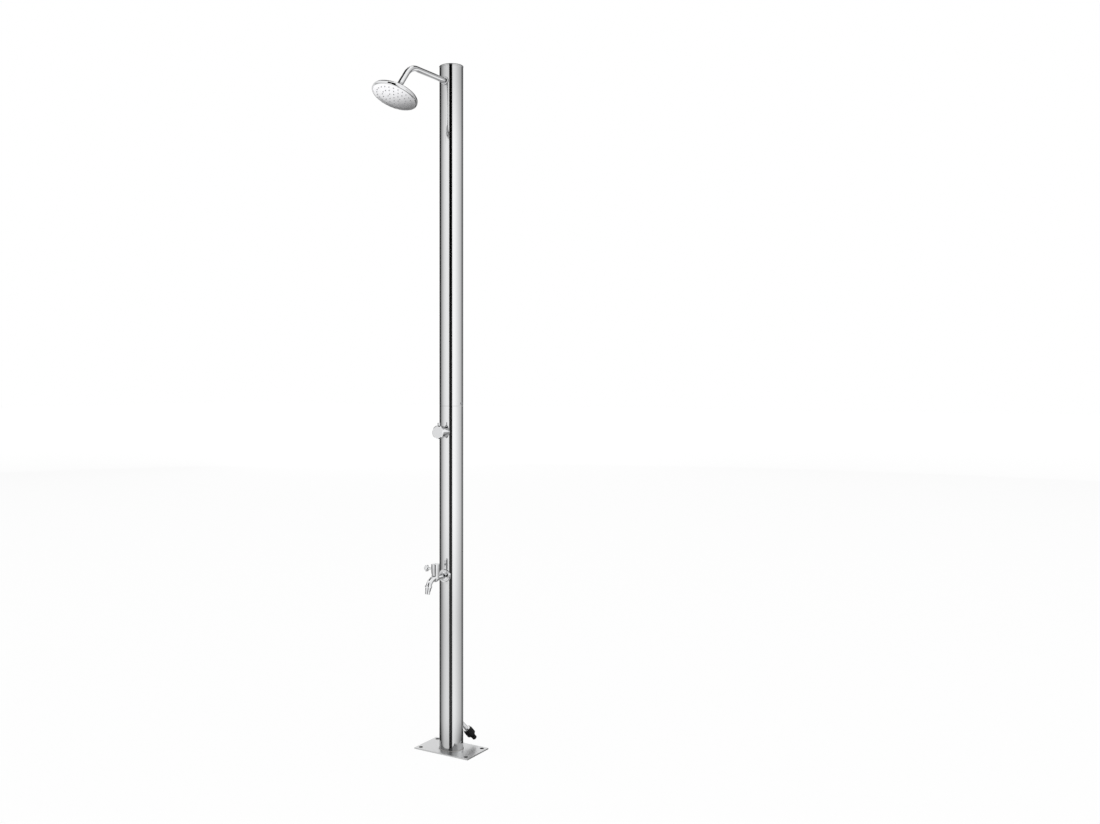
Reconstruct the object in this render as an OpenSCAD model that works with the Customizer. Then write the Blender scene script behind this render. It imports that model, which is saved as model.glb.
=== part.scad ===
// Outdoor shower post: a two-part stainless tube on a foot plate, with a bent shower arm and
// swivelling round head at the top, a quarter-turn shower valve at hand height, a bib tap below
// it and a hose connector low at the back.
// Millimetres. Origin: centre of the foot plate's underside. +Z up, front of the post towards -Y.

/* [Post] */
// Outer diameter of the post tube
post_d = 76; // [74:0.5:78]
// Wall thickness of the post tube
post_wall = 1.5; // [1.2:0.1:2]
// Overall height, foot plate to top of the cap
post_h = 2175; // [2150:5:2250]
// Height of the joint between the lower and the upper tube
seam_z = 1093.5; // [1085:0.5:1120]
// Height of the top cap's rim
cap_h = 6; // [5:0.5:10]
// Height of the locking screws above the joint
screw_rise = 8; // [8:1:20]

/* [Foot plate] */
// Width of the foot plate
plate_w = 200; // [180:5:240]
// Depth of the foot plate
plate_d = 125; // [115:5:160]
// Thickness of the foot plate
plate_t = 4; // [3:0.5:8]
// Spacing of the anchor holes across the width
hole_dx = 170; // [160:1:170]
// Spacing of the anchor holes across the depth
hole_dy = 95; // [92:1:100]
// Diameter of the anchor holes
hole_d = 12; // [8:0.5:14]

/* [Shower arm] */
// Height of the arm's axis
arm_z = 2120.5; // [2100:0.5:2122]
// Outer diameter of the arm
arm_d = 18; // [17.6:0.1:18.6]
// Wall thickness of the arm
arm_wall = 1.5; // [1.5:0.1:1.8]
// Reach from the post's axis to where the arm's two straight lines cross
arm_reach = 224.8; // [150:0.1:260]
// Radius of the bend at the pipe's centre
arm_bend_r = 70; // [60:1:75]
// Angle of the lower leg below the horizontal
arm_drop = 50.5; // [45:0.5:55]
// Distance from the crossing point down the lower leg to the ball's centre
ball_run = 104; // [90:0.1:130]

/* [Shower head] */
// Diameter of the head
head_d = 143; // [142:1:160]
// Distance from the ball's centre to the plane of the rim
head_drop = 31.3; // [31:0.1:34]
// Diameter of the swivel ball
ball_d = 21; // [20.8:0.1:21]
// Tilt of the head from lying level
head_tilt = 23.7; // [22:0.1:25]
// Turn of the tilted head about the vertical
head_turn = 21.5; // [15:0.1:23]
// Number of spray rings round the centre nozzle
spray_rings = 3; // [1:1:3]

/* [Shower valve] */
// Height of the valve's axis
valve_z = 1012; // [1005:1:1020]
// Diameter of the fixed sleeve
sleeve_d = 34; // [32:0.5:36]
// Diameter of the knob
knob_d = 42; // [40:0.5:46]
// Distance of the knob's front face from the post's axis
knob_front = 79.4; // [78:0.2:84]
// Distance of the knob's back face from the post's axis
knob_back = 62; // [61.5:0.1:63]
// Length of the lever pin above the knob's rim
lever_rise = 8.5; // [6:0.5:16]

/* [Bib tap] */
// Height of the tap's axis
tap_z = 558; // [500:1:620]
// Distance from the post's axis to the tap's spindle
tap_reach = 90.5; // [84:0.5:96]
// Outer diameter of the tap's tail pipe
tap_pipe_d = 17; // [16:0.2:17.4]
// Outer diameter of the spout
spout_d = 18; // [17:0.5:18.4]
// Bend radius of the spout
spout_bend_r = 30; // [28:1:36]
// Angle by which the spout turns down
spout_turn = 75; // [65:1:90]
// Diameter of the tap's wall flange
flange_d = 40; // [36:1:44]
// Height of the handle's top above the tap's axis
handle_top = 45; // [44:0.5:50]
// Length of the handle's lever from the spindle
tap_lever_l = 37; // [34:0.5:60]

/* [Water inlet] */
// Height at which the inlet leaves the post
inlet_z = 77; // [76:1:110]
// Direction of the inlet round the post, from the front towards +X
inlet_turn = 150; // [135:1:225]
// Angle of the inlet below the horizontal
inlet_drop = 49; // [45:1:50]

/* [Hidden] */
$fn = 96;

// Colours
polished = [0.80, 0.81, 0.82];
chrome = [0.86, 0.87, 0.88];
satin = [0.66, 0.67, 0.68];
brass = [0.78, 0.63, 0.35];
black_rubber = [0.05, 0.05, 0.05];
black_plastic = [0.07, 0.07, 0.08];
grey_silicone = [0.55, 0.56, 0.58];
white_nylon = [0.90, 0.89, 0.85];
hose_white = [0.82, 0.83, 0.84];
ceramic_white = [0.93, 0.93, 0.92];

// Clearance between seated parts, overrun of cuts that pass right through a face, and the
// chamfer of an edge that is left sharp
fit = 0.05;
cut = 1;
sharp = 0.01;
// Lap of a straight run into a bend, and how much thinner the bend is
bend_lap = 0.5;
bend_relief = 0.01;
// Facets of the very large circles, and of the small ones in the head's section
large_fn = 360;
small_fn = 48;

// Post
post_r = post_d / 2;
bore_r = post_r - post_wall;
cap_z = post_h - cap_h;
edge_chamfer = 0.4;
weld_leg = 2;
gasket_t = 0.8;
gasket_r = post_r + gasket_t;

// Joint between the two tubes
sleeve_below = 45;
sleeve_above = 80;
joint_sleeve_r = bore_r - fit;
joint_sleeve_wall = 2;
screw_r = 2.5;
screw_head_r = 4.5;
screw_head_h = 2.4;
screw_head_edge = 1;
screw_l = 9;
socket_key_r = 1.7;
socket_key_depth = 1.4;
nut_t = 4;
nut_r = 5.2;
screw_z = seam_z + screw_rise;

// Top cap
cap_lip = 0.7;
cap_edge_r = 2;
cap_groove = 0.8;
cap_plug_l = 16;
cap_wall = 1.6;

// Hoses and their tails
hose_r = 9;
hose_bore = 6.5;
tail_r = hose_bore - fit;
tail_bore = 4.5;
tail_l = 24;
clamp_t = 1.1;
clamp_w = 8;
clamp_inset = 9;

// Arm and its socket
arm_r = arm_d / 2;
arm_bore = arm_r - arm_wall;
arm_seat = 13;
arm_lead = arm_reach - arm_bend_r * tan(arm_drop / 2);
arm_leg = ball_run - arm_bend_r * tan(arm_drop / 2);
socket_r = 14.5;
socket_back = 12;
socket_neck_r = 11;
socket_neck_end = 41.5;
socket_shoulder = 20;
socket_shoulder_r = 10;
ferrule_r = 12.5;
ferrule_end = 42.6;
ferrule_edge = 0.8;
arm_gasket_r = 13;

// Swivel ball: distances from the ball's centre back up the arm
ball_r = ball_d / 2;
ball_neck_r = 5.5;
ball_shoulder = 17;
ball_shoulder_t = 2.5;
washer_t = 1.4;
washer_r = arm_r - 0.3;
ball_thread_l = 14;
ball_thread_r = arm_bore - fit;
ball_bore = 3.5;
arm_end = ball_shoulder + ball_shoulder_t + washer_t;
ball_y = -(arm_reach + ball_run * cos(arm_drop));
ball_z = arm_z - ball_run * sin(arm_drop);

// Seat ring, collar and hub, along the head's own axis from the ball's centre
seat_r = 12.5;
seat_low = -1;
seat_high = 6;
collar_r = 15;
collar_high = 11;
collar_gap = 0.3;
collar_low_edge = 0.6;
collar_high_edge = 1.2;
collar_bore = 12.8;
collar_step = -1.2;
mouth_low = 8;
mouth_low_r = 9.4;
mouth_high_r = 11;
hub_r = collar_bore - fit;
hub_top = -6.05;
cup_r = ball_r + 0.1;
hub_bore = 4.5;
boss_r = 10;
boss_drop = 4;
filter_r = 7;
filter_t = 1.2;
filter_hole = 0.5;
filter_pitch = 1.6;

// Head shell: a shallow dome that rolls over into an upright rim, with a solid rounded lip below
head_r = head_d / 2;
rim_z = -head_drop;
roll_r = 8;
roll_up = 7.3;
dome_h = 17.3;
roll_x = head_r - roll_r;
dome_c = ((dome_h - roll_r) ^ 2 - roll_x ^ 2 - roll_up ^ 2) / (2 * (dome_h - roll_r - roll_up));
dome_r = dome_h - dome_c;
shell_wall = 1.6;
lip_r = 4;
lip_w = 4.6;
lip_h = 3;
filter_z = rim_z + dome_h - shell_wall - boss_drop;
collar_low = rim_z + dome_h + collar_gap;

// Face plate, nozzle mat and nozzles
face_gap = 0.15;
face_r = head_r - lip_w - face_gap;
face_crown = 1.5;
face_edge = 0.4;
face_R = (face_r ^ 2 + face_crown ^ 2) / (2 * face_crown);
face_c = rim_z - face_crown + face_edge + face_R;
face_t = 1.6;
mat_r = 64;
mat_t = 1.5;
ring_step = 18.1;
nozzles_per_ring = 8;
nozzle_turn = 8.5;
nozzle_r = 1.6;
nozzle_tip_r = 1.1;
nozzle_rise = 1.6;
nozzle_straight = 0.2;
nozzle_bore = 0.6;

// Shower valve: distances outwards from the post's axis
valve_barrel_r = 15;
valve_barrel_h = 22;
valve_neck_r = 11.5;
valve_neck_end = 52;
cartridge_r = 8;
cartridge_back = 9;
cartridge_head_r = 9;
cartridge_end = 55;
plug_r = 6;
plug_back = cartridge_back - 0.1;
plug_end = 8;
plug_port = 3.5;
spindle_r = 3;
spindle_end = 76;
valve_nut_r = 15.5;
valve_nut_back = 26;
valve_nut_front = 32.4;
sleeve_r = sleeve_d / 2;
sleeve_end = 61.5;
sleeve_wall_back = 56;
sleeve_hole = 6;
sleeve_edge = 0.8;

// Knob, along the same axis
knob_r = knob_d / 2;
knob_chamfer = 2.2;
knob_back_chamfer = 1;
knob_recess_r = 15;
knob_recess = 5;
lever_shift = 0.8;
lever_y = (knob_front + knob_back) / 2 + lever_shift;
lever_r = 4.2;
lever_seat = knob_r - 3;
lever_foot = 11;
lever_foot_r = 3;
lever_edge = 0.8;
grub_r = 1.5;
grub_key_r = 0.8;
grub_key_depth = 2;
grub_out = knob_r - 1.5;

// Bib tap: outwards distances from the post's axis, heights from the tap's axis
tap_pipe_r = tap_pipe_d / 2;
tap_bore = 5.5;
tap_seat = 12;
tee_r = 11;
tee_h = 20;
tee_branch_r = 13;
flange_r = flange_d / 2;
flange_front = 45;
flange_edge = 3;
flange_dish_r = 14;
flange_dish = 1.6;
flange_dish_run = 2;
tap_gasket_r = flange_r - 0.3;
tap_barrel_r = 12;
tap_barrel_side_r = 11.8;
tap_barrel_top = 10;
tap_chamber_r = 8.05;
tap_plug_r = 8;
tap_plug_top = 6;
tap_port = 5;
tap_spindle_r = 4;
tap_spindle_top = 38;
handle_screw_r = 1.55;
handle_screw_l = 9;
handle_screw_seat = 41;
handle_screw_head_r = 3;
handle_screw_head_h = 2;
bonnet_r = 11;
bonnet_top = 16;
bonnet_spigot = 3.9;
handle_foot = 13.5;
handle_foot_r = 12.3;
handle_r = 13.3;
handle_taper_top = 32;
handle_edge = 2.5;
handle_recess_r = 11.5;
handle_recess_top = 24;
lever_z = 28;
tap_lever_r = 4.1;
tap_lever_foot_r = 3;
tap_lever_foot = 5.5;
tap_lever_seat = handle_r - 1.5;
tap_lever_head = 17;
tap_lever_flare = 12;
tap_lever_end_r = 10;
tap_lever_edge = 2;
index_r = 6.5;
index_t = 1.5;
index_sink = 0.3;

// Spout and nozzle, along the spout from the end of its bend
spout_r = spout_d / 2;
spout_bore = 6;
spout_lead = 100;
nozzle_collar_r = 11;
nozzle_back = 5;
nozzle_collar_l = 8;
nozzle_root_r = 9.5;
nozzle_lip_r = 7.5;
nozzle_lip_l = 7;
nozzle_l = 22;
nozzle_edge = 1;
nozzle_shoulder = 2;
nozzle_bore_r = 5.8;
strainer_at = 9;
strainer_t = 3;
strainer_hole = 0.9;
strainer_pitch = 2.2;

// Water inlet, along its slanted axis from the post's surface
stub_r = 6.8;
stub_bore = 5;
stub_collar_r = 9;
stub_collar = 2;
stub_shoulder = -16;
stub_inner = -32;
stub_head_r = 11.3;
stub_head_start = 26;
stub_head_end = 40;
stub_head_edge = 0.8;
inlet_bend_r = 60;
inlet_bend = 90 - inlet_drop;
bend_radius_out = inlet_bend_r * (1 - cos(inlet_bend));
bend_start = (post_r - bend_radius_out) / cos(inlet_drop);
bend_end_z = inlet_z + bend_start * sin(inlet_drop) + inlet_bend_r * sin(inlet_bend);

// Hose connector, along the same axis
conn_mouth = 27;
conn_mouth_r = 13.1;
conn_r = 14.4;
conn_nut_end = 54;
conn_ribs = 16;
conn_rib_r = 1.3;
conn_rib_ring = 13.6;
conn_rib_start = 33;
conn_rib_end = 51.5;
conn_shoulder_r = 9.2;
conn_shoulder_end = 58.6;
conn_neck_r = 6.6;
conn_bead_r = 8.2;
conn_bead_start = 59.2;
conn_bead_end = 60.4;
o_ring_start = 60.9;
conn_pin_start = 63.6;
conn_pin_r = 7.6;
conn_end = 72;
conn_bore = 4.5;
washer_end = 42;
conn_washer_r = stub_head_r - 0.4;
conn_edge = 0.8;
conn_cone = 2;
conn_tip = 1;
conn_bead_edge = 0.6;
conn_groove_r = 5.6;
o_ring_section_r = 1.1;
o_ring_pitch_r = conn_groove_r + fit + o_ring_section_r;

// ---------------------------------------------------------------- helpers

// Turns +Z to point out of the post's front at height z; local +Y then points up
module out_front(z) {
    translate([0, 0, z]) rotate([90, 0, 0]) children();
}

// Hollow cylinder from z0 to z1
module pipe(r_out, r_in, z0, z1) {
    translate([0, 0, z0]) difference() {
        cylinder(r = r_out, h = z1 - z0);
        translate([0, 0, -cut]) cylinder(r = r_in, h = z1 - z0 + 2 * cut);
    }
}

// Solid cylinder from z0 to z1
module bar(r, z0, z1) {
    translate([0, 0, z0]) cylinder(r = r, h = z1 - z0);
}

// Cylinder from z0 to z1 whose ends have chamfers c0 and c1
module chamfered_bar(r, z0, z1, c0, c1) {
    rotate_extrude() polygon([
        [0, z0], [r - c0, z0], [r, z0 + c0], [r, z1 - c1], [r - c1, z1], [0, z1]
    ]);
}

// Bends a 2D section from the origin's +Z heading towards -Y
module bend(radius, angle) {
    translate([0, -radius, 0]) rotate([90, 0, 90])
        rotate_extrude(angle = angle) translate([radius, 0]) children();
}

// Places children at the far end of such a bend, heading along +Z
module past_bend(radius, angle) {
    translate([0, radius * (cos(angle) - 1), radius * sin(angle)])
        rotate([angle, 0, 0]) children();
}

// Round bar that runs straight for lead_in, bends from the origin and runs on for lead_out.
// The straight lengths lap a little into the bend, which is a hair thinner
module bent_run(r, lead_in, radius, angle, lead_out) {
    bar(r, -lead_in, bend_lap);
    bend(radius, angle) circle(r = r - bend_relief);
    past_bend(radius, angle) bar(r, -bend_lap, lead_out);
}

// Everything inside a round column of radius r about the post's axis, between two heights
module column(r, z_mid, reach) {
    translate([0, 0, z_mid - reach]) cylinder(r = r, h = 2 * reach);
}

// Frame at the swivel ball's centre, +Z running on outwards along the lower leg of the arm
module at_ball() {
    out_front(arm_z) translate([0, 0, arm_lead])
        past_bend(arm_bend_r, arm_drop) translate([0, 0, arm_leg]) children();
}

// Frame at the ball's centre, +Z along the head's axis and out of its back
module in_head() {
    translate([0, ball_y, ball_z]) rotate([-head_tilt, 0, -head_turn]) children();
}

// Frame on the post's surface at the inlet, +Z running outwards and down
module at_inlet() {
    rotate([0, 0, inlet_turn]) translate([0, -post_r, inlet_z])
        rotate([90 + inlet_drop, 0, 0]) children();
}

// Frame at the end of the spout's bend, +Z towards the outlet
module at_spout_end() {
    out_front(tap_z) translate([0, 0, spout_lead]) past_bend(spout_bend_r, spout_turn) children();
}

// Saddle-shaped gasket lying on the post round a front fitting
module saddle_gasket(z, r_out, r_in) {
    difference() {
        intersection() {
            column(gasket_r, z, r_out + cut);
            out_front(z) bar(r_out, 0, post_d);
        }
        column(post_r, z, r_out + 2 * cut);
        out_front(z) bar(r_in, 0, post_d);
    }
}

// ---------------------------------------------------------------- post

module base_plate() {
    color(polished) difference() {
        translate([-plate_w / 2, -plate_d / 2, 0]) cube([plate_w, plate_d, plate_t]);
        for (x = [-1, 1], y = [-1, 1])
            translate([x * hole_dx / 2, y * hole_dy / 2, -cut])
                cylinder(d = hole_d, h = plate_t + 2 * cut);
    }
}

module foot_weld() {
    color(satin) rotate_extrude() polygon([
        [post_r, plate_t], [post_r + weld_leg, plate_t], [post_r, plate_t + weld_leg]
    ]);
}

// Tube between two heights; c0 and c1 break its outer edges
module post_tube(z0, z1, c0, c1) {
    rotate_extrude() polygon([
        [bore_r, z0], [post_r - c0, z0], [post_r, z0 + c0],
        [post_r, z1 - c1], [post_r - c1, z1], [bore_r, z1]
    ]);
}

module lower_tube() {
    color(polished) difference() {
        post_tube(plate_t, seam_z, sharp, edge_chamfer);
        out_front(valve_z) bar(valve_neck_r + fit, 0, post_d);
        out_front(tap_z) bar(tap_pipe_r + fit, 0, post_d);
        at_inlet() bar(stub_r + fit, stub_inner, stub_head_start);
    }
}

module upper_tube() {
    color(polished) difference() {
        post_tube(seam_z, cap_z, edge_chamfer, sharp);
        out_front(arm_z) bar(socket_neck_r + fit, 0, post_d);
        translate([-post_d, 0, screw_z]) rotate([0, 90, 0])
            cylinder(r = screw_r + fit, h = 2 * post_d);
    }
}

module joining_sleeve() {
    color(satin) difference() {
        pipe(joint_sleeve_r, joint_sleeve_r - joint_sleeve_wall, seam_z - sleeve_below,
            seam_z + sleeve_above);
        translate([-post_d, 0, screw_z]) rotate([0, 90, 0])
            cylinder(r = screw_r + fit, h = 2 * post_d);
    }
}

module joint_nuts() {
    nut_out = joint_sleeve_r - joint_sleeve_wall;
    color(satin) for (side = [0, 180]) rotate([0, 0, side]) intersection() {
        column(nut_out, screw_z, 2 * nut_r);
        translate([nut_out - nut_t, 0, screw_z]) rotate([0, 90, 0]) difference() {
            cylinder(r = nut_r, h = 2 * nut_t, $fn = 6);
            translate([0, 0, -cut]) cylinder(r = screw_r + fit, h = 3 * nut_t);
        }
    }
}

module joint_screws() {
    color(satin) for (side = [0, 180]) rotate([0, 0, side]) difference() {
        translate([post_r, 0, screw_z]) rotate([0, 90, 0]) {
            bar(screw_r, -screw_l, 0);
            chamfered_bar(screw_head_r, -cut, screw_head_h, sharp, screw_head_edge);
        }
        difference() {
            column(post_r, screw_z, screw_head_r + cut);
            translate([0, 0, screw_z]) rotate([0, 90, 0]) cylinder(r = screw_r, h = post_d);
        }
        translate([post_r + screw_head_h - socket_key_depth, 0, screw_z]) rotate([0, 90, 0])
            cylinder(r = socket_key_r, h = screw_head_h, $fn = 6);
    }
}

module top_cap() {
    lip = post_r + cap_lip;
    color(polished) rotate_extrude() {
        difference() {
            union() {
                translate([0, cap_z + cap_groove])
                    square([lip, cap_h - cap_groove - cap_edge_r]);
                translate([0, cap_z]) square([lip - cap_edge_r, cap_h]);
                translate([lip - cap_edge_r, post_h - cap_edge_r]) circle(r = cap_edge_r);
                translate([0, cap_z - cap_plug_l]) square([joint_sleeve_r, cap_plug_l + cap_h / 2]);
            }
            translate([-cut, cap_z - cap_plug_l - cut])
                square([joint_sleeve_r - cap_wall + cut, cap_plug_l + cap_h - cap_wall + cut]);
            translate([-post_r, cap_z - cap_plug_l]) square([post_r, post_h]);
        }
    }
}

// ---------------------------------------------------------------- shower arm

// Elbow behind the post's wall that takes the arm and feeds it from the hose below
module arm_socket() {
    color(brass) difference() {
        union() {
            intersection() {
                column(bore_r - fit, arm_z, socket_r + cut);
                out_front(arm_z) bar(socket_r, -socket_back, post_d);
            }
            out_front(arm_z) bar(socket_neck_r, 0, socket_neck_end);
            bar(socket_shoulder_r, arm_z - socket_shoulder, arm_z);
            bar(tail_r, arm_z - socket_shoulder - tail_l, arm_z);
        }
        out_front(arm_z) bar(arm_r + fit, arm_seat - fit, post_d);
        out_front(arm_z) bar(tail_bore, -tail_bore, arm_seat);
        bar(tail_bore, arm_z - socket_shoulder - tail_l - cut, arm_z);
    }
}

module arm_gasket() {
    color(black_rubber) saddle_gasket(arm_z, arm_gasket_r, socket_neck_r + fit);
}

// Thin round nut that draws the socket up against the wall
module arm_ferrule() {
    color(chrome) difference() {
        out_front(arm_z) chamfered_bar(ferrule_r, 0, ferrule_end, sharp, ferrule_edge);
        column(gasket_r, arm_z, ferrule_r + cut);
        out_front(arm_z) bar(socket_neck_r + fit, 0, socket_neck_end + fit);
        out_front(arm_z) bar(arm_r + fit, 0, post_d);
    }
}

module shower_arm() {
    color(chrome) out_front(arm_z) translate([0, 0, arm_lead]) difference() {
        bent_run(arm_r, arm_lead - arm_seat, arm_bend_r, arm_drop, arm_leg - arm_end);
        bent_run(arm_bore, arm_lead - arm_seat + cut, arm_bend_r, arm_drop, arm_leg - arm_end + cut);
    }
}

module swivel_washer() {
    color(black_rubber) at_ball()
        pipe(washer_r, ball_thread_r + fit, -arm_end, -arm_end + washer_t);
}

module swivel_ball() {
    color(chrome) at_ball() difference() {
        union() {
            sphere(r = ball_r);
            bar(ball_neck_r, -ball_shoulder - cut, 0);
            bar(arm_r, -ball_shoulder - ball_shoulder_t, -ball_shoulder);
            bar(ball_thread_r, -arm_end - ball_thread_l, -ball_shoulder);
        }
        bar(ball_bore, -arm_end - ball_thread_l - cut, ball_d);
    }
}

// ---------------------------------------------------------------- shower head

// Nylon ring that holds the ball down from above
module ball_seat() {
    color(white_nylon) in_head() difference() {
        intersection() {
            sphere(r = seat_r);
            bar(collar_r, seat_low, seat_high);
        }
        sphere(r = ball_r + fit);
    }
}

module swivel_collar() {
    color(chrome) in_head() difference() {
        chamfered_bar(collar_r, collar_low, collar_high, collar_low_edge, collar_high_edge);
        sphere(r = seat_r + fit);
        bar(collar_bore, collar_low - cut, collar_step);
        translate([0, 0, mouth_low])
            cylinder(r1 = mouth_low_r, r2 = mouth_high_r, h = collar_high - mouth_low);
        bar(mouth_high_r, collar_high, collar_high + cut);
    }
}

// Half section of the dome, shrunk inwards by t and open below `low`: a large circle for the
// crown, a small circle for the roll and an upright rim, all meeting in tangent
module dome_section(t, low) {
    union() {
        intersection() {
            translate([0, rim_z + dome_c]) circle(r = dome_r - t, $fn = large_fn);
            polygon([
                [0, rim_z], [roll_x, rim_z], [roll_x, rim_z + roll_up],
                [roll_x + (roll_r + cut) * roll_x / (dome_r - roll_r),
                    rim_z + roll_up + (roll_r + cut) * (roll_up - dome_c) / (dome_r - roll_r)],
                [0, rim_z + dome_h + cut]
            ]);
        }
        intersection() {
            translate([roll_x, rim_z + roll_up]) circle(r = roll_r - t, $fn = small_fn);
            translate([roll_x - cut, rim_z + roll_up]) square(roll_r + cut);
        }
        translate([0, rim_z + low]) square([head_r - t, roll_up - low]);
    }
}

// Chromed dome with its threaded hub, ball cup and filter boss
module head_back_shell() {
    color(chrome) in_head() difference() {
        union() {
            rotate_extrude() difference() {
                union() {
                    dome_section(0, lip_r);
                    translate([0, rim_z]) square([head_r - lip_r, lip_r]);
                    translate([head_r - lip_r, rim_z + lip_r]) circle(r = lip_r, $fn = small_fn);
                }
                dome_section(shell_wall, lip_h);
                translate([0, rim_z - cut]) square([head_r - lip_w, lip_h + 2 * cut]);
            }
            bar(hub_r, rim_z + dome_h - shell_wall, hub_top);
            bar(boss_r, filter_z, rim_z + dome_h);
        }
        sphere(r = cup_r);
        bar(hub_bore, rim_z, 0);
        bar(filter_r + fit, rim_z, filter_z + filter_t);
    }
}

module inlet_filter() {
    color(white_nylon) in_head() difference() {
        bar(filter_r, filter_z, filter_z + filter_t);
        for (ring = [1, 2], i = [0 : 6 * ring - 1])
            rotate([0, 0, i * 60 / ring]) translate([ring * filter_pitch, 0, 0])
                bar(filter_hole, filter_z - cut, filter_z + filter_t + cut);
    }
}

// Height of the face plate's front surface at distance x from the head's axis
function face_z(x) = face_c - sqrt(face_R ^ 2 - x ^ 2);

// Places children at every nozzle, passing its distance from the axis in $ring_x
module at_nozzles() {
    for (ring = [0 : spray_rings]) {
        count = max(1, ring * nozzles_per_ring);
        for (i = [0 : count - 1]) {
            $ring_x = ring * ring_step;
            rotate([0, 0, nozzle_turn + i * 360 / count])
                translate([$ring_x, 0, face_z($ring_x)]) children();
        }
    }
}

// Part of a large hollow ball, cut out by a cylinder about the head's axis
module crowned_disc(r_disc, r_front, t) {
    intersection() {
        translate([0, 0, face_c]) difference() {
            sphere(r = r_front, $fn = large_fn);
            sphere(r = r_front - t, $fn = large_fn);
        }
        bar(r_disc, rim_z - 2 * face_crown, rim_z + face_r / 4);
    }
}

module head_face_plate() {
    color(satin) in_head() difference() {
        crowned_disc(face_r, face_R, face_t);
        at_nozzles() translate([0, 0, -2 * cut]) cylinder(r = nozzle_r + fit, h = 4 * face_t);
    }
}

// Soft mat behind the face plate; its nozzles stand out through the plate's holes
module nozzle_mat() {
    color(grey_silicone) in_head() difference() {
        union() {
            crowned_disc(mat_r, face_R - face_t - fit, mat_t);
            at_nozzles() {
                bar(nozzle_r, -nozzle_straight, face_t + mat_t / 2);
                translate([0, 0, -nozzle_rise])
                    cylinder(r1 = nozzle_tip_r, r2 = nozzle_r, h = nozzle_rise - nozzle_straight);
            }
        }
        at_nozzles() bar(nozzle_bore, -nozzle_rise - cut, face_t + 2 * mat_t);
    }
}

// ---------------------------------------------------------------- shower valve

// Brass body inside the post with its threaded neck and two hose tails
module valve_body() {
    tail_end = valve_barrel_h + tail_l;
    color(brass) difference() {
        union() {
            bar(valve_barrel_r, valve_z - valve_barrel_h, valve_z + valve_barrel_h);
            bar(tail_r, valve_z - tail_end, valve_z + tail_end);
            out_front(valve_z) bar(valve_neck_r, 0, valve_neck_end);
        }
        bar(tail_bore, valve_z - tail_end - cut, valve_z + tail_end + cut);
        out_front(valve_z) bar(cartridge_r, -cartridge_back, post_d);
    }
}

module valve_saddle() {
    color(black_rubber) difference() {
        intersection() {
            column(bore_r - fit, valve_z, valve_nut_r + cut);
            out_front(valve_z) bar(valve_nut_r, valve_nut_front, post_d);
        }
        out_front(valve_z) bar(valve_neck_r + fit, 0, post_d);
    }
}

module valve_backnut() {
    color(brass) out_front(valve_z) difference() {
        translate([0, 0, valve_nut_back])
            cylinder(r = valve_nut_r, h = valve_nut_front - valve_nut_back, $fn = 6);
        bar(valve_neck_r + fit, 0, post_d);
    }
}

module valve_gasket() {
    color(black_rubber) saddle_gasket(valve_z, sleeve_r, valve_neck_r + fit);
}

// Chromed sleeve screwed onto the neck, cut to sit round the post
module valve_sleeve() {
    color(chrome) difference() {
        out_front(valve_z) chamfered_bar(sleeve_r, 0, sleeve_end, sharp, sleeve_edge);
        column(gasket_r, valve_z, sleeve_r + cut);
        out_front(valve_z) bar(valve_neck_r + fit, 0, sleeve_wall_back);
        out_front(valve_z) bar(sleeve_hole, 0, post_d);
    }
}

// Cartridge: bore for the spindle in front, chamber and water ports behind
module valve_cartridge() {
    color(ceramic_white) out_front(valve_z) difference() {
        union() {
            bar(cartridge_r - fit, -cartridge_back, cartridge_end);
            translate([0, 0, valve_neck_end])
                cylinder(r = cartridge_head_r, h = cartridge_end - valve_neck_end, $fn = 6);
        }
        bar(plug_r + fit, -cartridge_back - cut, plug_end + fit);
        bar(spindle_r + fit, 0, cartridge_end + cut);
        rotate([90, 0, 0]) bar(plug_port, -2 * cartridge_r, 2 * cartridge_r);
    }
}

// Spindle with the turning plug at its inner end; its port lies across the flow when closed
module valve_spindle() {
    color(brass) out_front(valve_z) difference() {
        union() {
            bar(plug_r, -plug_back, plug_end);
            bar(spindle_r, 0, spindle_end);
        }
        rotate([0, 90, 0]) bar(plug_port, -2 * plug_r, 2 * plug_r);
    }
}

module valve_knob() {
    color(chrome) out_front(valve_z) difference() {
        chamfered_bar(knob_r, knob_back, knob_front, knob_back_chamfer, knob_chamfer);
        bar(knob_recess_r, knob_back - cut, knob_back + knob_recess);
        bar(spindle_r + fit, knob_back, spindle_end + fit);
        translate([0, 0, lever_y]) rotate([-90, 0, 0]) {
            bar(lever_foot_r + fit, lever_foot, knob_d);
            bar(lever_r + fit, lever_seat, knob_d);
        }
        translate([0, 0, lever_y]) rotate([90, 0, 0]) bar(grub_r + fit, 0, knob_d);
    }
}

module valve_lever_pin() {
    color(chrome) out_front(valve_z) translate([0, 0, lever_y]) rotate([-90, 0, 0]) {
        bar(lever_foot_r, lever_foot + fit, lever_seat + cut);
        chamfered_bar(lever_r, lever_seat, knob_r + lever_rise, sharp, lever_edge);
    }
}

module knob_grub_screw() {
    color(satin) out_front(valve_z) translate([0, 0, lever_y]) rotate([90, 0, 0]) difference() {
        bar(grub_r, spindle_r, grub_out);
        translate([0, 0, grub_out - grub_key_depth])
            cylinder(r = grub_key_r, h = grub_key_depth + cut, $fn = 6);
    }
}

// ---------------------------------------------------------------- bib tap

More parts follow.
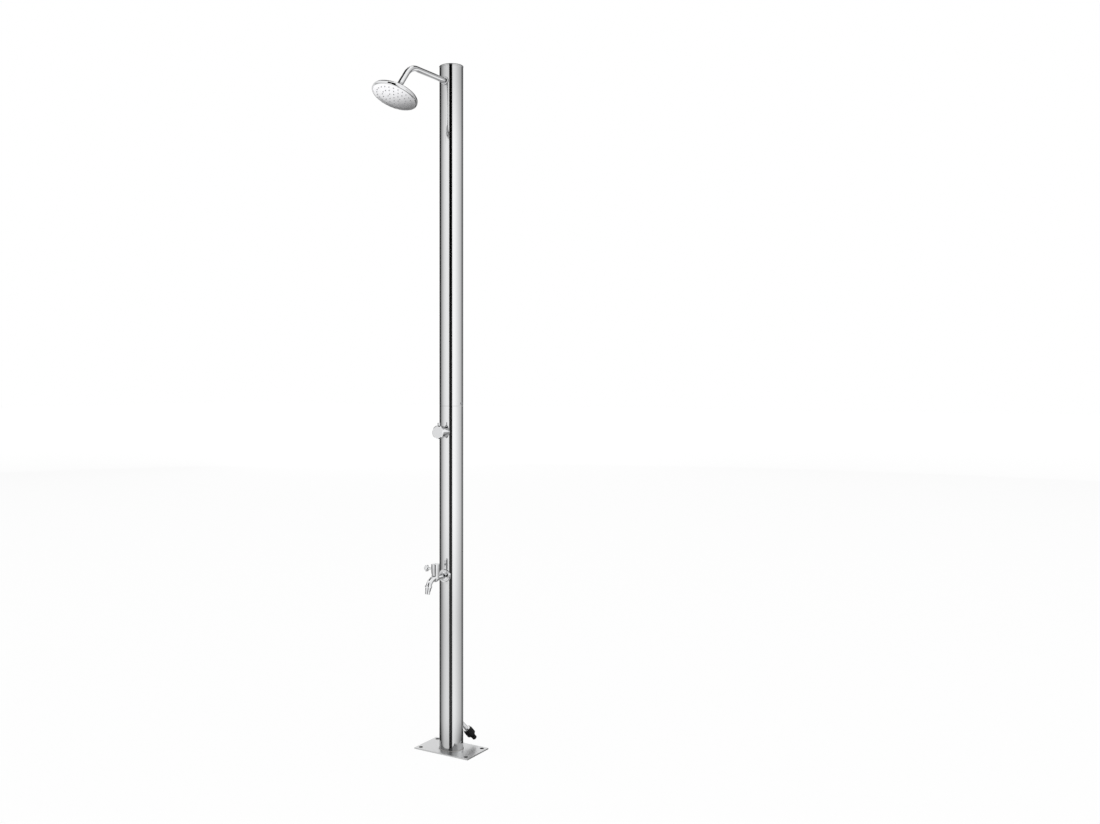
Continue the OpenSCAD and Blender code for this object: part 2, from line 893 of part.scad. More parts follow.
// Brass tee inside the post: flow passes upwards and branches to the tap
module tap_tee() {
    tail_end = tee_h + tail_l;
    color(brass) difference() {
        union() {
            bar(tee_r, tap_z - tee_h, tap_z + tee_h);
            bar(tail_r, tap_z - tail_end, tap_z + tail_end);
            intersection() {
                column(bore_r - fit, tap_z, tee_branch_r + cut);
                out_front(tap_z) bar(tee_branch_r, 0, post_d);
            }
        }
        bar(tail_bore, tap_z - tail_end - cut, tap_z + tail_end + cut);
        out_front(tap_z) bar(tail_bore, 0, post_d);
        out_front(tap_z) bar(tap_pipe_r + fit, tap_seat - fit, post_d);
    }
}

module tap_gasket() {
    color(black_rubber) saddle_gasket(tap_z, tap_gasket_r, tap_pipe_r + fit);
}

// Wall flange with a rounded edge and a shallow dish round the pipe
module tap_flange() {
    dish_depth = flange_front - flange_dish;
    color(chrome) difference() {
        out_front(tap_z) {
            bar(flange_r, 0, flange_front - flange_edge);
            bar(flange_r - flange_edge, 0, flange_front);
            translate([0, 0, flange_front - flange_edge]) rotate_extrude()
                translate([flange_r - flange_edge, 0]) intersection() {
                    circle(r = flange_edge);
                    square([flange_edge, flange_edge]);
                }
        }
        column(gasket_r, tap_z, flange_r + cut);
        out_front(tap_z) bar(tap_pipe_r + fit, 0, post_d);
        out_front(tap_z) difference() {
            bar(flange_dish_r, dish_depth, flange_front + cut);
            translate([0, 0, dish_depth])
                cylinder(r1 = flange_dish_r - flange_dish_run, r2 = tap_pipe_r, h = flange_dish);
        }
    }
}

// Cast body: tail pipe, round barrel under the bonnet, and the spout that curves down
module tap_body() {
    color(chrome) out_front(tap_z) difference() {
        union() {
            bar(tap_pipe_r, tap_seat, tap_reach);
            translate([0, 0, tap_reach]) {
                sphere(r = tap_barrel_r);
                rotate([-90, 0, 0]) bar(tap_barrel_side_r, 0, tap_barrel_top);
            }
            translate([0, 0, spout_lead])
                bent_run(spout_r, spout_lead - tap_reach, spout_bend_r, spout_turn, bend_lap);
        }
        bar(tap_bore, tap_seat - cut, tap_reach);
        translate([0, 0, spout_lead])
            bent_run(spout_bore, spout_lead - tap_reach, spout_bend_r, spout_turn, cut);
        translate([0, 0, tap_reach]) rotate([-90, 0, 0])
            bar(tap_chamber_r, -tap_plug_r - fit, tap_barrel_r + cut);
    }
}

module tap_bonnet() {
    color(brass) out_front(tap_z) translate([0, 0, tap_reach]) rotate([-90, 0, 0]) difference() {
        union() {
            bar(tap_plug_r, tap_barrel_top - bonnet_spigot, tap_barrel_top);
            bar(bonnet_r, tap_barrel_top, bonnet_top);
        }
        bar(tap_spindle_r + fit, 0, bonnet_top + cut);
    }
}

// Spindle with the turning plug at its foot; its port lies across the flow when closed
module tap_spindle() {
    color(brass) out_front(tap_z) translate([0, 0, tap_reach]) rotate([-90, 0, 0]) difference() {
        union() {
            bar(tap_plug_r, -tap_plug_r, tap_plug_top);
            bar(tap_spindle_r, 0, tap_spindle_top);
        }
        rotate([0, 90, 0]) bar(tap_port, -2 * tap_plug_r, 2 * tap_plug_r);
        bar(handle_screw_r + fit, tap_spindle_top - handle_screw_l - cut, tap_spindle_top + cut);
    }
}

// Round handle that covers the bonnet, slightly wider towards its rounded top
module tap_handle() {
    color(chrome) out_front(tap_z) translate([0, 0, tap_reach]) rotate([-90, 0, 0]) difference() {
        rotate_extrude() {
            polygon([
                [0, handle_foot], [handle_foot_r, handle_foot], [handle_r, handle_taper_top],
                [handle_r, handle_top - handle_edge], [0, handle_top - handle_edge]
            ]);
            translate([0, handle_top - handle_edge])
                square([handle_r - handle_edge, handle_edge]);
            translate([handle_r - handle_edge, handle_top - handle_edge]) intersection() {
                circle(r = handle_edge);
                square([handle_edge, handle_edge]);
            }
        }
        bar(handle_recess_r, handle_foot - cut, handle_recess_top);
        bar(tap_spindle_r + fit, handle_foot, tap_spindle_top + fit);
        bar(handle_screw_r + 2 * fit, tap_spindle_top, handle_top);
        bar(handle_screw_head_r + 2 * fit, handle_screw_seat, handle_top);
        bar(index_r + fit, handle_top - index_t, handle_top + cut);
        translate([0, 0, lever_z]) rotate([0, -90, 0])
            bar(tap_lever_foot_r + fit, tap_lever_foot, handle_r + cut);
        translate([0, 0, lever_z]) rotate([0, -90, 0])
            bar(tap_lever_r + fit, tap_lever_seat, handle_r + cut);
    }
}

// Lever: a stem that flares in a hollow curve to a round end
module tap_lever() {
    flare_start = tap_lever_l - tap_lever_head;
    flare_x = tap_lever_r + tap_lever_flare;
    end_start = flare_start + sqrt(tap_lever_flare ^ 2 - (flare_x - tap_lever_end_r) ^ 2);
    rounded = tap_lever_l - tap_lever_edge;
    color(chrome) out_front(tap_z) translate([0, 0, tap_reach]) rotate([-90, 0, 0])
        translate([0, 0, lever_z]) rotate([0, -90, 0]) rotate_extrude() {
            translate([0, tap_lever_foot + fit]) square([tap_lever_foot_r, flare_start]);
            translate([0, tap_lever_seat]) square([tap_lever_r, end_start - tap_lever_seat]);
            difference() {
                translate([0, flare_start]) square([tap_lever_end_r, rounded - flare_start]);
                translate([flare_x, flare_start]) circle(r = tap_lever_flare);
            }
            translate([0, end_start])
                square([tap_lever_end_r - tap_lever_edge, tap_lever_l - end_start]);
            translate([tap_lever_end_r - tap_lever_edge, rounded]) circle(r = tap_lever_edge);
        }
}

module tap_handle_screw() {
    color(satin) out_front(tap_z) translate([0, 0, tap_reach]) rotate([-90, 0, 0]) {
        bar(handle_screw_r, tap_spindle_top - handle_screw_l, handle_screw_seat);
        bar(handle_screw_head_r, handle_screw_seat, handle_screw_seat + handle_screw_head_h);
    }
}

module tap_index_cap() {
    color(satin) out_front(tap_z) translate([0, 0, tap_reach]) rotate([-90, 0, 0])
        bar(index_r, handle_top - index_t, handle_top - index_sink);
}

// Nozzle screwed over the spout's end: a round collar, a taper and a plain lip
module spout_nozzle() {
    color(chrome) difference() {
        at_spout_end() rotate_extrude() polygon([
            [nozzle_bore_r, -nozzle_back], [nozzle_collar_r - nozzle_edge, -nozzle_back],
            [nozzle_collar_r, -nozzle_back + nozzle_edge],
            [nozzle_collar_r, nozzle_collar_l - nozzle_back - nozzle_shoulder],
            [nozzle_root_r, nozzle_collar_l - nozzle_back],
            [nozzle_lip_r, nozzle_l - nozzle_lip_l], [nozzle_lip_r, nozzle_l],
            [nozzle_bore_r, nozzle_l]
        ]);
        out_front(tap_z) translate([0, 0, spout_lead])
            bent_run(spout_r + fit, 0, spout_bend_r, spout_turn, bend_lap + fit);
    }
}

module spout_strainer() {
    color(white_nylon) at_spout_end() difference() {
        bar(nozzle_bore_r - fit, strainer_at, strainer_at + strainer_t);
        for (ring = [1, 2], i = [0 : 6 * ring - 1])
            rotate([0, 0, i * 60 / ring]) translate([ring * strainer_pitch, 0, 0])
                bar(strainer_hole, strainer_at - cut, strainer_at + strainer_t + cut);
    }
}

// ---------------------------------------------------------------- hoses inside the post

// From the inlet's barb up the slant, round a bend and straight up to the tee
module supply_hose() {
    color(hose_white) at_inlet() translate([0, 0, -bend_start]) rotate([180, 0, 0]) difference() {
        bent_run(hose_r, bend_start + stub_shoulder, inlet_bend_r, inlet_bend,
            tap_z - tee_h - bend_end_z);
        bent_run(hose_bore, bend_start + stub_shoulder + cut, inlet_bend_r, inlet_bend,
            tap_z - tee_h - bend_end_z + cut);
    }
}

module riser_hose() {
    color(hose_white) pipe(hose_r, hose_bore, tap_z + tee_h, valve_z - valve_barrel_h);
}

module arm_hose() {
    color(hose_white) pipe(hose_r, hose_bore, valve_z + valve_barrel_h, arm_z - socket_shoulder);
}

// One band clamp on each hose end
module hose_clamps() {
    heights = [
        tap_z - tee_h - clamp_inset, tap_z + tee_h + clamp_inset,
        valve_z - valve_barrel_h - clamp_inset, valve_z + valve_barrel_h + clamp_inset,
        arm_z - socket_shoulder - clamp_inset
    ];
    color(satin) {
        for (z = heights)
            pipe(hose_r + clamp_t, hose_r + fit, z - clamp_w / 2, z + clamp_w / 2);
        at_inlet() translate([0, 0, stub_shoulder - clamp_inset])
            pipe(hose_r + clamp_t, hose_r + fit, -clamp_w / 2, clamp_w / 2);
    }
}

// ---------------------------------------------------------------- water inlet

// Slanted pipe through the wall: hose barb inside, threaded head outside
module inlet_stub() {
    color(polished) at_inlet() difference() {
        union() {
            bar(tail_r, stub_inner, 0);
            bar(stub_collar_r, stub_shoulder, stub_shoulder + stub_collar);
            bar(stub_r, stub_shoulder, stub_head_start + cut);
            chamfered_bar(stub_head_r, stub_head_start, stub_head_end, stub_head_edge, stub_head_edge);
        }
        bar(stub_bore, stub_inner - cut, stub_head_end + cut);
    }
}

// Weld bead round the pipe where it leaves the wall
module inlet_weld() {
    color(satin) difference() {
        intersection() {
            at_inlet() bar(stub_r + weld_leg, stub_inner / 2, stub_head_start);
            column(post_r + weld_leg, inlet_z, 3 * stub_r);
            rotate([0, 0, inlet_turn]) translate([-post_r, -2 * post_r, inlet_z - 3 * stub_r])
                cube([2 * post_r, 2 * post_r, 6 * stub_r]);
        }
        column(post_r, inlet_z, 4 * stub_r);
        at_inlet() bar(stub_r, stub_inner, stub_head_start + cut);
    }
}

module connector_washer() {
    color(black_rubber) at_inlet() pipe(conn_washer_r, stub_bore, stub_head_end, washer_end);
}

// Moulded connector: ribbed nut over the threaded head, then a plug for a push-fit hose end
module hose_connector() {
    color(black_plastic) at_inlet() difference() {
        union() {
            rotate_extrude() polygon([
                [0, conn_mouth], [conn_mouth_r - conn_edge, conn_mouth],
                [conn_mouth_r, conn_mouth + conn_edge],
                [conn_r, conn_nut_end - conn_cone], [conn_r - conn_cone, conn_nut_end],
                [conn_shoulder_r, conn_shoulder_end - conn_tip],
                [conn_shoulder_r - conn_tip, conn_shoulder_end],
                [conn_neck_r, conn_shoulder_end], [conn_neck_r, conn_bead_start],
                [conn_bead_r, conn_bead_start + conn_bead_edge], [conn_bead_r, conn_bead_end],
                [conn_pin_r, conn_bead_end], [conn_pin_r, o_ring_start],
                [conn_groove_r, o_ring_start], [conn_groove_r, conn_pin_start],
                [conn_pin_r, conn_pin_start], [conn_pin_r, conn_end - conn_tip],
                [conn_pin_r - conn_tip, conn_end], [0, conn_end]
            ]);
            for (i = [0 : conn_ribs - 1])
                rotate([0, 0, i * 360 / conn_ribs]) translate([conn_rib_ring, 0, 0])
                    bar(conn_rib_r, conn_rib_start, conn_rib_end);
        }
        bar(stub_head_r + fit, conn_mouth - cut, washer_end);
        bar(conn_bore, conn_mouth, conn_end + cut);
    }
}

module connector_o_ring() {
    color(black_rubber) at_inlet() rotate_extrude()
        translate([o_ring_pitch_r, (o_ring_start + conn_pin_start) / 2]) circle(r = o_ring_section_r);
}

// ---------------------------------------------------------------- drawing

base_plate();
foot_weld();
lower_tube();
joining_sleeve();
joint_nuts();
joint_screws();
upper_tube();
top_cap();
arm_socket();
arm_gasket();
arm_ferrule();
shower_arm();
swivel_washer();
swivel_ball();
ball_seat();
swivel_collar();
head_back_shell();
inlet_filter();
nozzle_mat();
head_face_plate();
valve_body();
valve_saddle();
valve_backnut();
valve_gasket();
valve_sleeve();
valve_cartridge();
valve_spindle();
valve_knob();
valve_lever_pin();
knob_grub_screw();
tap_tee();
tap_gasket();
tap_flange();
tap_body();
tap_bonnet();
spout_nozzle();
spout_strainer();
tap_spindle();
tap_handle();
tap_lever();
tap_handle_screw();
tap_index_cap();
supply_hose();
riser_hose();
arm_hose();
hose_clamps();
inlet_stub();
inlet_weld();
connector_washer();
hose_connector();
connector_o_ring();
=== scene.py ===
"""Finishes, weld beads, stage and camera for an outdoor shower post with a polished round tube."""

import math

import bmesh
import bpy
from bpy.props import FloatProperty, FloatVectorProperty, PointerProperty
from mathutils import Matrix, Vector


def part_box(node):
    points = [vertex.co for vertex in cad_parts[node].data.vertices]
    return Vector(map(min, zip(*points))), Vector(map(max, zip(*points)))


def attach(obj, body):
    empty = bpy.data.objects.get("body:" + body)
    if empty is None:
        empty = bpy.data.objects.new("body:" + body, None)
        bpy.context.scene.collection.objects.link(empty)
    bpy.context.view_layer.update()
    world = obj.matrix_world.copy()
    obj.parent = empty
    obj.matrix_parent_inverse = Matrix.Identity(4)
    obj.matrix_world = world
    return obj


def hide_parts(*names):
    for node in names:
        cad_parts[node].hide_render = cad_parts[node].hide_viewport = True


bl_info = {
    "name": "Outdoor Shower Post",
    "version": (1, 0, 0),
    "blender": (4, 5, 0),
    "location": "3D View > Sidebar > Shower Post",
    "description": "Dresses an outdoor shower post with its finishes, welds, stage and camera",
    "category": "Object",
}

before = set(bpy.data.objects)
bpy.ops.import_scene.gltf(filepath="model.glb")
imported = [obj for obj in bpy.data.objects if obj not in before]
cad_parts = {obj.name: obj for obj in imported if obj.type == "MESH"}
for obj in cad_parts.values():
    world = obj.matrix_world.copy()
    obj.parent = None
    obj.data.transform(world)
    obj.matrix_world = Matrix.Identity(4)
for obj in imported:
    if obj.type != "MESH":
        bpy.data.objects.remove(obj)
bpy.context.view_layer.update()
MM = 0.001

# Sizes read from the frame, in metres
TUBE_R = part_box("lower_tube")[1][0]
PLATE_X, PLATE_Y, PLATE_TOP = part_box("base_plate")[1]
CAP_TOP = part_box("top_cap")[1][2]
# Holes of the foot plate: inset from its sides, centres and radius
HOLE_INSET = 15 * MM
PLATE_HOLES = [
    (x * (PLATE_X - HOLE_INSET), y * (PLATE_Y - HOLE_INSET)) for x in (-1, 1) for y in (-1, 1)
]
HOLE_R = 6 * MM

# Nodes that share a finish
POLISHED = ("lower_tube", "upper_tube", "inlet_stub")
CHROMED = (
    "arm_ferrule", "shower_arm", "swivel_ball", "swivel_collar", "head_back_shell",
    "valve_sleeve", "valve_knob", "valve_lever_pin", "tap_flange", "tap_body", "tap_handle",
    "tap_lever", "spout_nozzle", "tap_bonnet",
)
PLAIN_STEEL = ("joining_sleeve", "joint_nuts", "hose_clamps")
TURNED_STEEL = ("joint_screws", "knob_grub_screw", "tap_handle_screw")
BRASS = (
    "arm_socket", "valve_body", "valve_backnut", "valve_spindle", "tap_tee", "tap_spindle",
)
RUBBER = (
    "arm_gasket", "swivel_washer", "valve_saddle", "valve_gasket", "tap_gasket",
    "connector_washer", "connector_o_ring",
)
NYLON = ("ball_seat", "inlet_filter", "spout_strainer")
HOSES = ("supply_hose", "riser_hose", "arm_hose")


# ---------------------------------------------------------------- settings


class ShowerMetalSettings(bpy.types.PropertyGroup):
    """Colours and gloss of the metal parts"""

    steel: FloatVectorProperty(
        name="Stainless steel", description="Colour of the polished tube and foot plate",
        subtype="COLOR", size=3, min=0, max=1, default=(0.87, 0.875, 0.88))
    steel_gloss: FloatProperty(
        name="Steel roughness", description="Roughness of the polished steel",
        subtype="FACTOR", min=0, max=1, default=0.085)
    plate_gloss: FloatProperty(
        name="Plate roughness", description="Roughness of the brushed foot plate",
        subtype="FACTOR", min=0, max=1, default=0.36)
    chrome: FloatVectorProperty(
        name="Chrome", description="Colour of the plated fittings",
        subtype="COLOR", size=3, min=0, max=1, default=(0.87, 0.875, 0.885))
    chrome_gloss: FloatProperty(
        name="Chrome roughness", description="Roughness of the plated fittings",
        subtype="FACTOR", min=0, max=1, default=0.07)
    face: FloatVectorProperty(
        name="Face plate", description="Colour of the spray face",
        subtype="COLOR", size=3, min=0, max=1, default=(0.87, 0.87, 0.885))
    brass: FloatVectorProperty(
        name="Brass", description="Colour of the machined brass inside the post",
        subtype="COLOR", size=3, min=0, max=1, default=(0.62, 0.43, 0.17))


class ShowerPlasticSettings(bpy.types.PropertyGroup):
    """Colours of the rubber, plastic and ceramic parts"""

    rubber: FloatVectorProperty(
        name="Rubber", description="Colour of gaskets and rings",
        subtype="COLOR", size=3, min=0, max=1, default=(0.012, 0.012, 0.012))
    connector: FloatVectorProperty(
        name="Connector", description="Colour of the moulded hose connector",
        subtype="COLOR", size=3, min=0, max=1, default=(0.008, 0.008, 0.009))
    nozzle: FloatVectorProperty(
        name="Nozzles", description="Colour of the silicone nozzles",
        subtype="COLOR", size=3, min=0, max=1, default=(0.68, 0.68, 0.70))
    nylon: FloatVectorProperty(
        name="Nylon", description="Colour of the seat ring, filter and strainer",
        subtype="COLOR", size=3, min=0, max=1, default=(0.78, 0.76, 0.70))
    hose: FloatVectorProperty(
        name="Hose", description="Colour of the hoses inside the post",
        subtype="COLOR", size=3, min=0, max=1, default=(0.66, 0.68, 0.70))


class ShowerWeldSettings(bpy.types.PropertyGroup):
    """Shape of the two weld beads"""

    leg: FloatProperty(
        name="Weld leg", description="Size of the bead on each of the two parts it joins",
        subtype="DISTANCE", unit="LENGTH", min=0.001, max=0.006, default=0.0019)
    ripple: FloatProperty(
        name="Ripple pitch", description="Length of one ripple along the bead",
        subtype="DISTANCE", unit="LENGTH", min=0.001, max=0.01, default=0.0024)
    height: FloatProperty(
        name="Ripple height", description="Height of the ripples",
        subtype="DISTANCE", unit="LENGTH", min=0, max=0.001, default=0.00022)
    inlet_z: FloatProperty(
        name="Inlet height", description="Height at which the inlet pipe leaves the tube",
        subtype="DISTANCE", unit="LENGTH", min=0, default=0.077)
    inlet_turn: FloatProperty(
        name="Inlet direction", description="Direction of the inlet pipe, from the front to +X",
        subtype="ANGLE", unit="ROTATION", default=math.radians(150))
    inlet_drop: FloatProperty(
        name="Inlet slope", description="Angle of the inlet pipe below the horizontal",
        subtype="ANGLE", unit="ROTATION", default=math.radians(49))
    inlet_r: FloatProperty(
        name="Inlet radius", description="Radius of the inlet pipe",
        subtype="DISTANCE", unit="LENGTH", min=0.001, default=0.0068)


class ShowerStageSettings(bpy.types.PropertyGroup):
    """Camera, floor and studio panels"""

    azimuth: FloatProperty(
        name="Camera azimuth", description="Where the camera stands round the post",
        subtype="ANGLE", unit="ROTATION", default=math.radians(33.19))
    distance: FloatProperty(
        name="Camera distance", description="From the post's axis, level with the camera",
        subtype="DISTANCE", unit="LENGTH", min=1, default=3.4896)
    height: FloatProperty(
        name="Camera height", description="Height of the lens above the floor",
        subtype="DISTANCE", unit="LENGTH", min=0, default=1.1723)
    lens: FloatProperty(
        name="Focal length", description="Focal length for a sensor 36 mm wide",
        min=10, default=35.835)
    rise: FloatProperty(
        name="Lens rise", description="Vertical shift of the lens", default=-0.0281)
    aside: FloatProperty(
        name="Lens aside", description="Sideways shift of the lens", default=0.0897)
    wall_r: FloatProperty(
        name="Panel distance", description="Distance of the studio panels from the post",
        subtype="DISTANCE", unit="LENGTH", min=6, default=12.0)
    card_level: FloatProperty(
        name="Card level", description="Brightness of the level cards behind the post",
        min=0, default=0.95)
    head_level: FloatProperty(
        name="Head card level", description="Brightness of the upright card beside the head",
        min=0, default=0.72)
    second_mirror: FloatProperty(
        name="Second mirror", description="Share of the panels' light after a second mirror",
        subtype="FACTOR", min=0, max=1, default=0.5)
    dark_level: FloatProperty(
        name="Dark level", description="Brightness of the dark discs above and below the post",
        min=0, default=0.03)
    floor_white: FloatProperty(
        name="Floor white", description="Share of the floor's tone that keeps out of shadow",
        subtype="FACTOR", min=0, max=1, default=0.86)

    def wall_seen(self, z):
        """Height on the panels that the lens sees mirrored in the upright post at height z"""
        return z + self.wall_r * (z - self.height) / self.distance


SETTINGS = {
    "shower_metal": ShowerMetalSettings,
    "shower_plastic": ShowerPlasticSettings,
    "shower_weld": ShowerWeldSettings,
    "shower_stage": ShowerStageSettings,
}


# ---------------------------------------------------------------- node helpers
# A source is a (node, output) pair: what a helper returns, and what the next one takes


# Sockets of a Mix node that mixes two colours
FIRST_COLOUR, SECOND_COLOUR, MIXED_COLOUR = 6, 7, 2


def new_group(name, inputs, outputs):
    """Shader node group with those sockets: {name: (socket type, default)} and {name: type}"""
    group = bpy.data.node_groups.new(name, "ShaderNodeTree")
    for socket, (kind, default) in inputs.items():
        made = group.interface.new_socket(name=socket, in_out="INPUT", socket_type=kind)
        if default is not None:
            made.default_value = default
    for socket, kind in outputs.items():
        group.interface.new_socket(name=socket, in_out="OUTPUT", socket_type=kind)
    return group, group.nodes.new("NodeGroupInput"), group.nodes.new("NodeGroupOutput")


def put(tree, kind, values=None, **settings):
    """New node with its settings and its unlinked input values"""
    node = tree.nodes.new(kind)
    for name, value in settings.items():
        setattr(node, name, value)
    for name, value in (values or {}).items():
        node.inputs[name].default_value = value
    return node


def join(tree, source, target, socket):
    """Links a source to that socket of the target node"""
    node, output = source
    tree.links.new(node.outputs[output], target.inputs[socket])


def math_node(tree, operation, *values):
    """Result of a Math node on values that are each a number or a source"""
    node = put(tree, "ShaderNodeMath", operation=operation)
    for i, value in enumerate(values):
        if isinstance(value, tuple):
            join(tree, value, node, i)
        else:
            node.inputs[i].default_value = value
    return node, 0


def vector_node(tree, operation, source, other=None, output="Vector"):
    """Result of a Vector Math node on a source and, where it needs one, a fixed vector"""
    node = put(tree, "ShaderNodeVectorMath", operation=operation)
    join(tree, source, node, 0)
    if other is not None:
        node.inputs[1].default_value = other
    return node, output


def span(tree, source, low, high, at_low=0.0, at_high=1.0):
    """Runs from at_low to at_high while the source runs from low to high"""
    node = put(tree, "ShaderNodeMapRange", {
        "From Min": low, "From Max": high, "To Min": at_low, "To Max": at_high})
    join(tree, source, node, "Value")
    return node, "Result"


def separated(tree, source):
    """Node whose outputs are the X, Y and Z of a source"""
    node = put(tree, "ShaderNodeSeparateXYZ")
    join(tree, source, node, 0)
    return node


def build_grain_group():
    """Fine polishing lines that run along Z, as a height and a mask round 0.5"""
    group, inp, out = new_group(
        "polishing_grain",
        {"Vector": ("NodeSocketVector", None), "Lines per metre": ("NodeSocketFloat", 900.0),
         "Run": ("NodeSocketFloat", 2.5)},
        {"Mask": "NodeSocketFloat", "Height": "NodeSocketFloat"})
    parts = separated(group, (inp, "Vector"))
    stretched = put(group, "ShaderNodeCombineXYZ")
    for axis, rate in zip("XYZ", ("Lines per metre", "Lines per metre", "Run")):
        join(group, math_node(group, "MULTIPLY", (parts, axis), (inp, rate)), stretched, axis)
    lines = put(group, "ShaderNodeTexNoise", {"Scale": 1.0, "Detail": 2.0, "Roughness": 0.55})
    join(group, (stretched, 0), lines, "Vector")
    join(group, (lines, "Fac"), out, "Mask")
    join(group, span(group, (lines, "Fac"), 0.3, 0.7), out, "Height")
    return group


def build_haze_group():
    """Soft cloudy patches where a polished face has been wiped, and marks: half the haze plus
    the rims of a few dried drops"""
    group, inp, out = new_group(
        "wiped_haze",
        {"Vector": ("NodeSocketVector", None), "Patches per metre": ("NodeSocketFloat", 14.0),
         "Drops per metre": ("NodeSocketFloat", 120.0)},
        {"Haze": "NodeSocketFloat", "Marks": "NodeSocketFloat"})
    cloud = put(group, "ShaderNodeTexNoise", {"Detail": 5.0, "Roughness": 0.55})
    join(group, (inp, "Vector"), cloud, "Vector")
    join(group, (inp, "Patches per metre"), cloud, "Scale")
    join(group, (cloud, "Fac"), out, "Haze")
    cells = put(group, "ShaderNodeTexVoronoi", {"Randomness": 1.0}, feature="F1")
    join(group, (inp, "Vector"), cells, "Vector")
    join(group, (inp, "Drops per metre"), cells, "Scale")
    outer = span(group, (cells, "Distance"), 0.10, 0.16, 1.0, 0.0)
    inner = span(group, (cells, "Distance"), 0.04, 0.11)
    rims = math_node(group, "MULTIPLY", outer, inner)
    few = span(group, (cloud, "Fac"), 0.58, 0.66)
    drops = math_node(group, "MULTIPLY", rims, few)
    join(group, math_node(group, "MULTIPLY_ADD", (cloud, "Fac"), 0.5, drops), out, "Marks")
    return group


def build_mould_group():
    """Fine matt texture of a moulded surface"""
    group, inp, out = new_group(
        "moulded_texture",
        {"Vector": ("NodeSocketVector", None), "Grains per metre": ("NodeSocketFloat", 2500.0)},
        {"Height": "NodeSocketFloat", "Mask": "NodeSocketFloat"})
    grain = put(group, "ShaderNodeTexNoise", {"Detail": 3.0, "Roughness": 0.5})
    join(group, (inp, "Vector"), grain, "Vector")
    join(group, (inp, "Grains per metre"), grain, "Scale")
    join(group, (grain, "Fac"), out, "Height")
    patches = put(group, "ShaderNodeTexNoise", {"Scale": 60.0, "Detail": 2.0})
    join(group, (inp, "Vector"), patches, "Vector")
    join(group, (patches, "Fac"), out, "Mask")
    return group


def build_turning_group():
    """Rings left by a lathe about the local Z axis"""
    group, inp, out = new_group(
        "turning_rings",
        {"Vector": ("NodeSocketVector", None), "Rings per metre": ("NodeSocketFloat", 4000.0)},
        {"Height": "NodeSocketFloat"})
    rings = put(group, "ShaderNodeTexNoise", {"Detail": 3.0, "Roughness": 0.7},
                noise_dimensions="1D")
    join(group, vector_node(group, "LENGTH", (inp, "Vector"), output="Value"), rings, "W")
    join(group, (inp, "Rings per metre"), rings, "Scale")
    join(group, (rings, "Fac"), out, "Height")
    return group


def build_painted_dark_group():
    """Painted shade and painted dark reflections: the colour is kept where the mask is 1 and gives
    way to the dark one where it is 0
    """
    group, inp, out = new_group(
        "painted_dark",
        {"Colour": ("NodeSocketColor", None), "Dark": ("NodeSocketColor", None),
         "Unpainted": ("NodeSocketFloat", 1.0)},
        {"Colour": "NodeSocketColor"})
    mix = put(group, "ShaderNodeMix", data_type="RGBA")
    join(group, (inp, "Unpainted"), mix, "Factor")
    join(group, (inp, "Dark"), mix, FIRST_COLOUR)
    join(group, (inp, "Colour"), mix, SECOND_COLOUR)
    join(group, (mix, MIXED_COLOUR), out, "Colour")
    return group


GROUP_BUILDERS = {
    "polishing_grain": build_grain_group,
    "wiped_haze": build_haze_group,
    "moulded_texture": build_mould_group,
    "turning_rings": build_turning_group,
    "painted_dark": build_painted_dark_group,
}


def place_group(tree, name, vector=None, values=None):
    """The named group placed in this tree, with a source for its Vector and its own values"""
    node = put(tree, "ShaderNodeGroup")
    node.node_tree = bpy.data.node_groups.get(name) or GROUP_BUILDERS[name]()
    for socket, value in (values or {}).items():
        node.inputs[socket].default_value = value
    if vector:
        join(tree, vector, node, "Vector")
    return node


def new_material(name, metallic=0.0, **constants):
    """Material with a Principled BSDF: (material, tree, shader, source of coordinates)"""
    material = bpy.data.materials.new(name)
    material.use_nodes = True
    tree = material.node_tree
    shader = tree.nodes["Principled BSDF"]
    shader.inputs["Metallic"].default_value = metallic
    for socket, value in constants.items():
        shader.inputs[socket.replace("_", " ")].default_value = value
    place = put(tree, "ShaderNodeTexCoord")
    return material, tree, shader, (place, "Object")


def vary_colour(tree, shader, mask, low, high):
    """Base Color that runs from low to high with a mask; returns it as a source"""
    mix = put(tree, "ShaderNodeMix", data_type="RGBA")
    join(tree, mask, mix, "Factor")
    mix.inputs[FIRST_COLOUR].default_value = (*low, 1.0)
    mix.inputs[SECOND_COLOUR].default_value = (*high, 1.0)
    join(tree, (mix, MIXED_COLOUR), shader, "Base Color")
    return mix, MIXED_COLOUR


def vary_roughness(tree, shader, mask, low, high):
    """Roughness that runs from low to high with a mask"""
    join(tree, span(tree, mask, 0.0, 1.0, low, high), shader, "Roughness")


def add_bump(tree, shader, height, distance, strength=1.0):
    """Bump from a source of heights between 0 and 1, which stand for that distance in metres"""
    bump = put(tree, "ShaderNodeBump", {"Strength": strength, "Distance": distance})
    join(tree, height, bump, "Height")
    join(tree, (bump, "Normal"), shader, "Normal")


def darken(tree, shader, colour, unpainted, dark):
    """Base Color with painted shade or a painted dark reflection: kept where the mask is 1 and
    turned dark where it is 0
    """
    mark = place_group(tree, "painted_dark", values={"Dark": (*dark, 1.0)})
    join(tree, colour, mark, "Colour")
    join(tree, unpainted, mark, "Unpainted")
    join(tree, (mark, "Colour"), shader, "Base Color")


def scaled(colour, factor):
    """Colour with each channel multiplied by the factor"""
    return tuple(channel * factor for channel in colour)


def bare_material(name):
    """Material with an empty tree, for the studio's own surfaces, and the tree"""
    material = bpy.data.materials.new(name)
    material.use_nodes = True
    material.node_tree.nodes.clear()
    return material, material.node_tree


def show(tree, shader):
    """Makes a source the surface of its material"""
    out = put(tree, "ShaderNodeOutputMaterial")
    join(tree, shader, out, "Surface")


def mixed_shader(tree, share, first, second):
    """First shader where the share is 0 and the second where it is 1, all of them sources"""
    mix = put(tree, "ShaderNodeMixShader")
    for i, source in enumerate((share, first, second)):
        join(tree, source, mix, i)
    return mix, 0


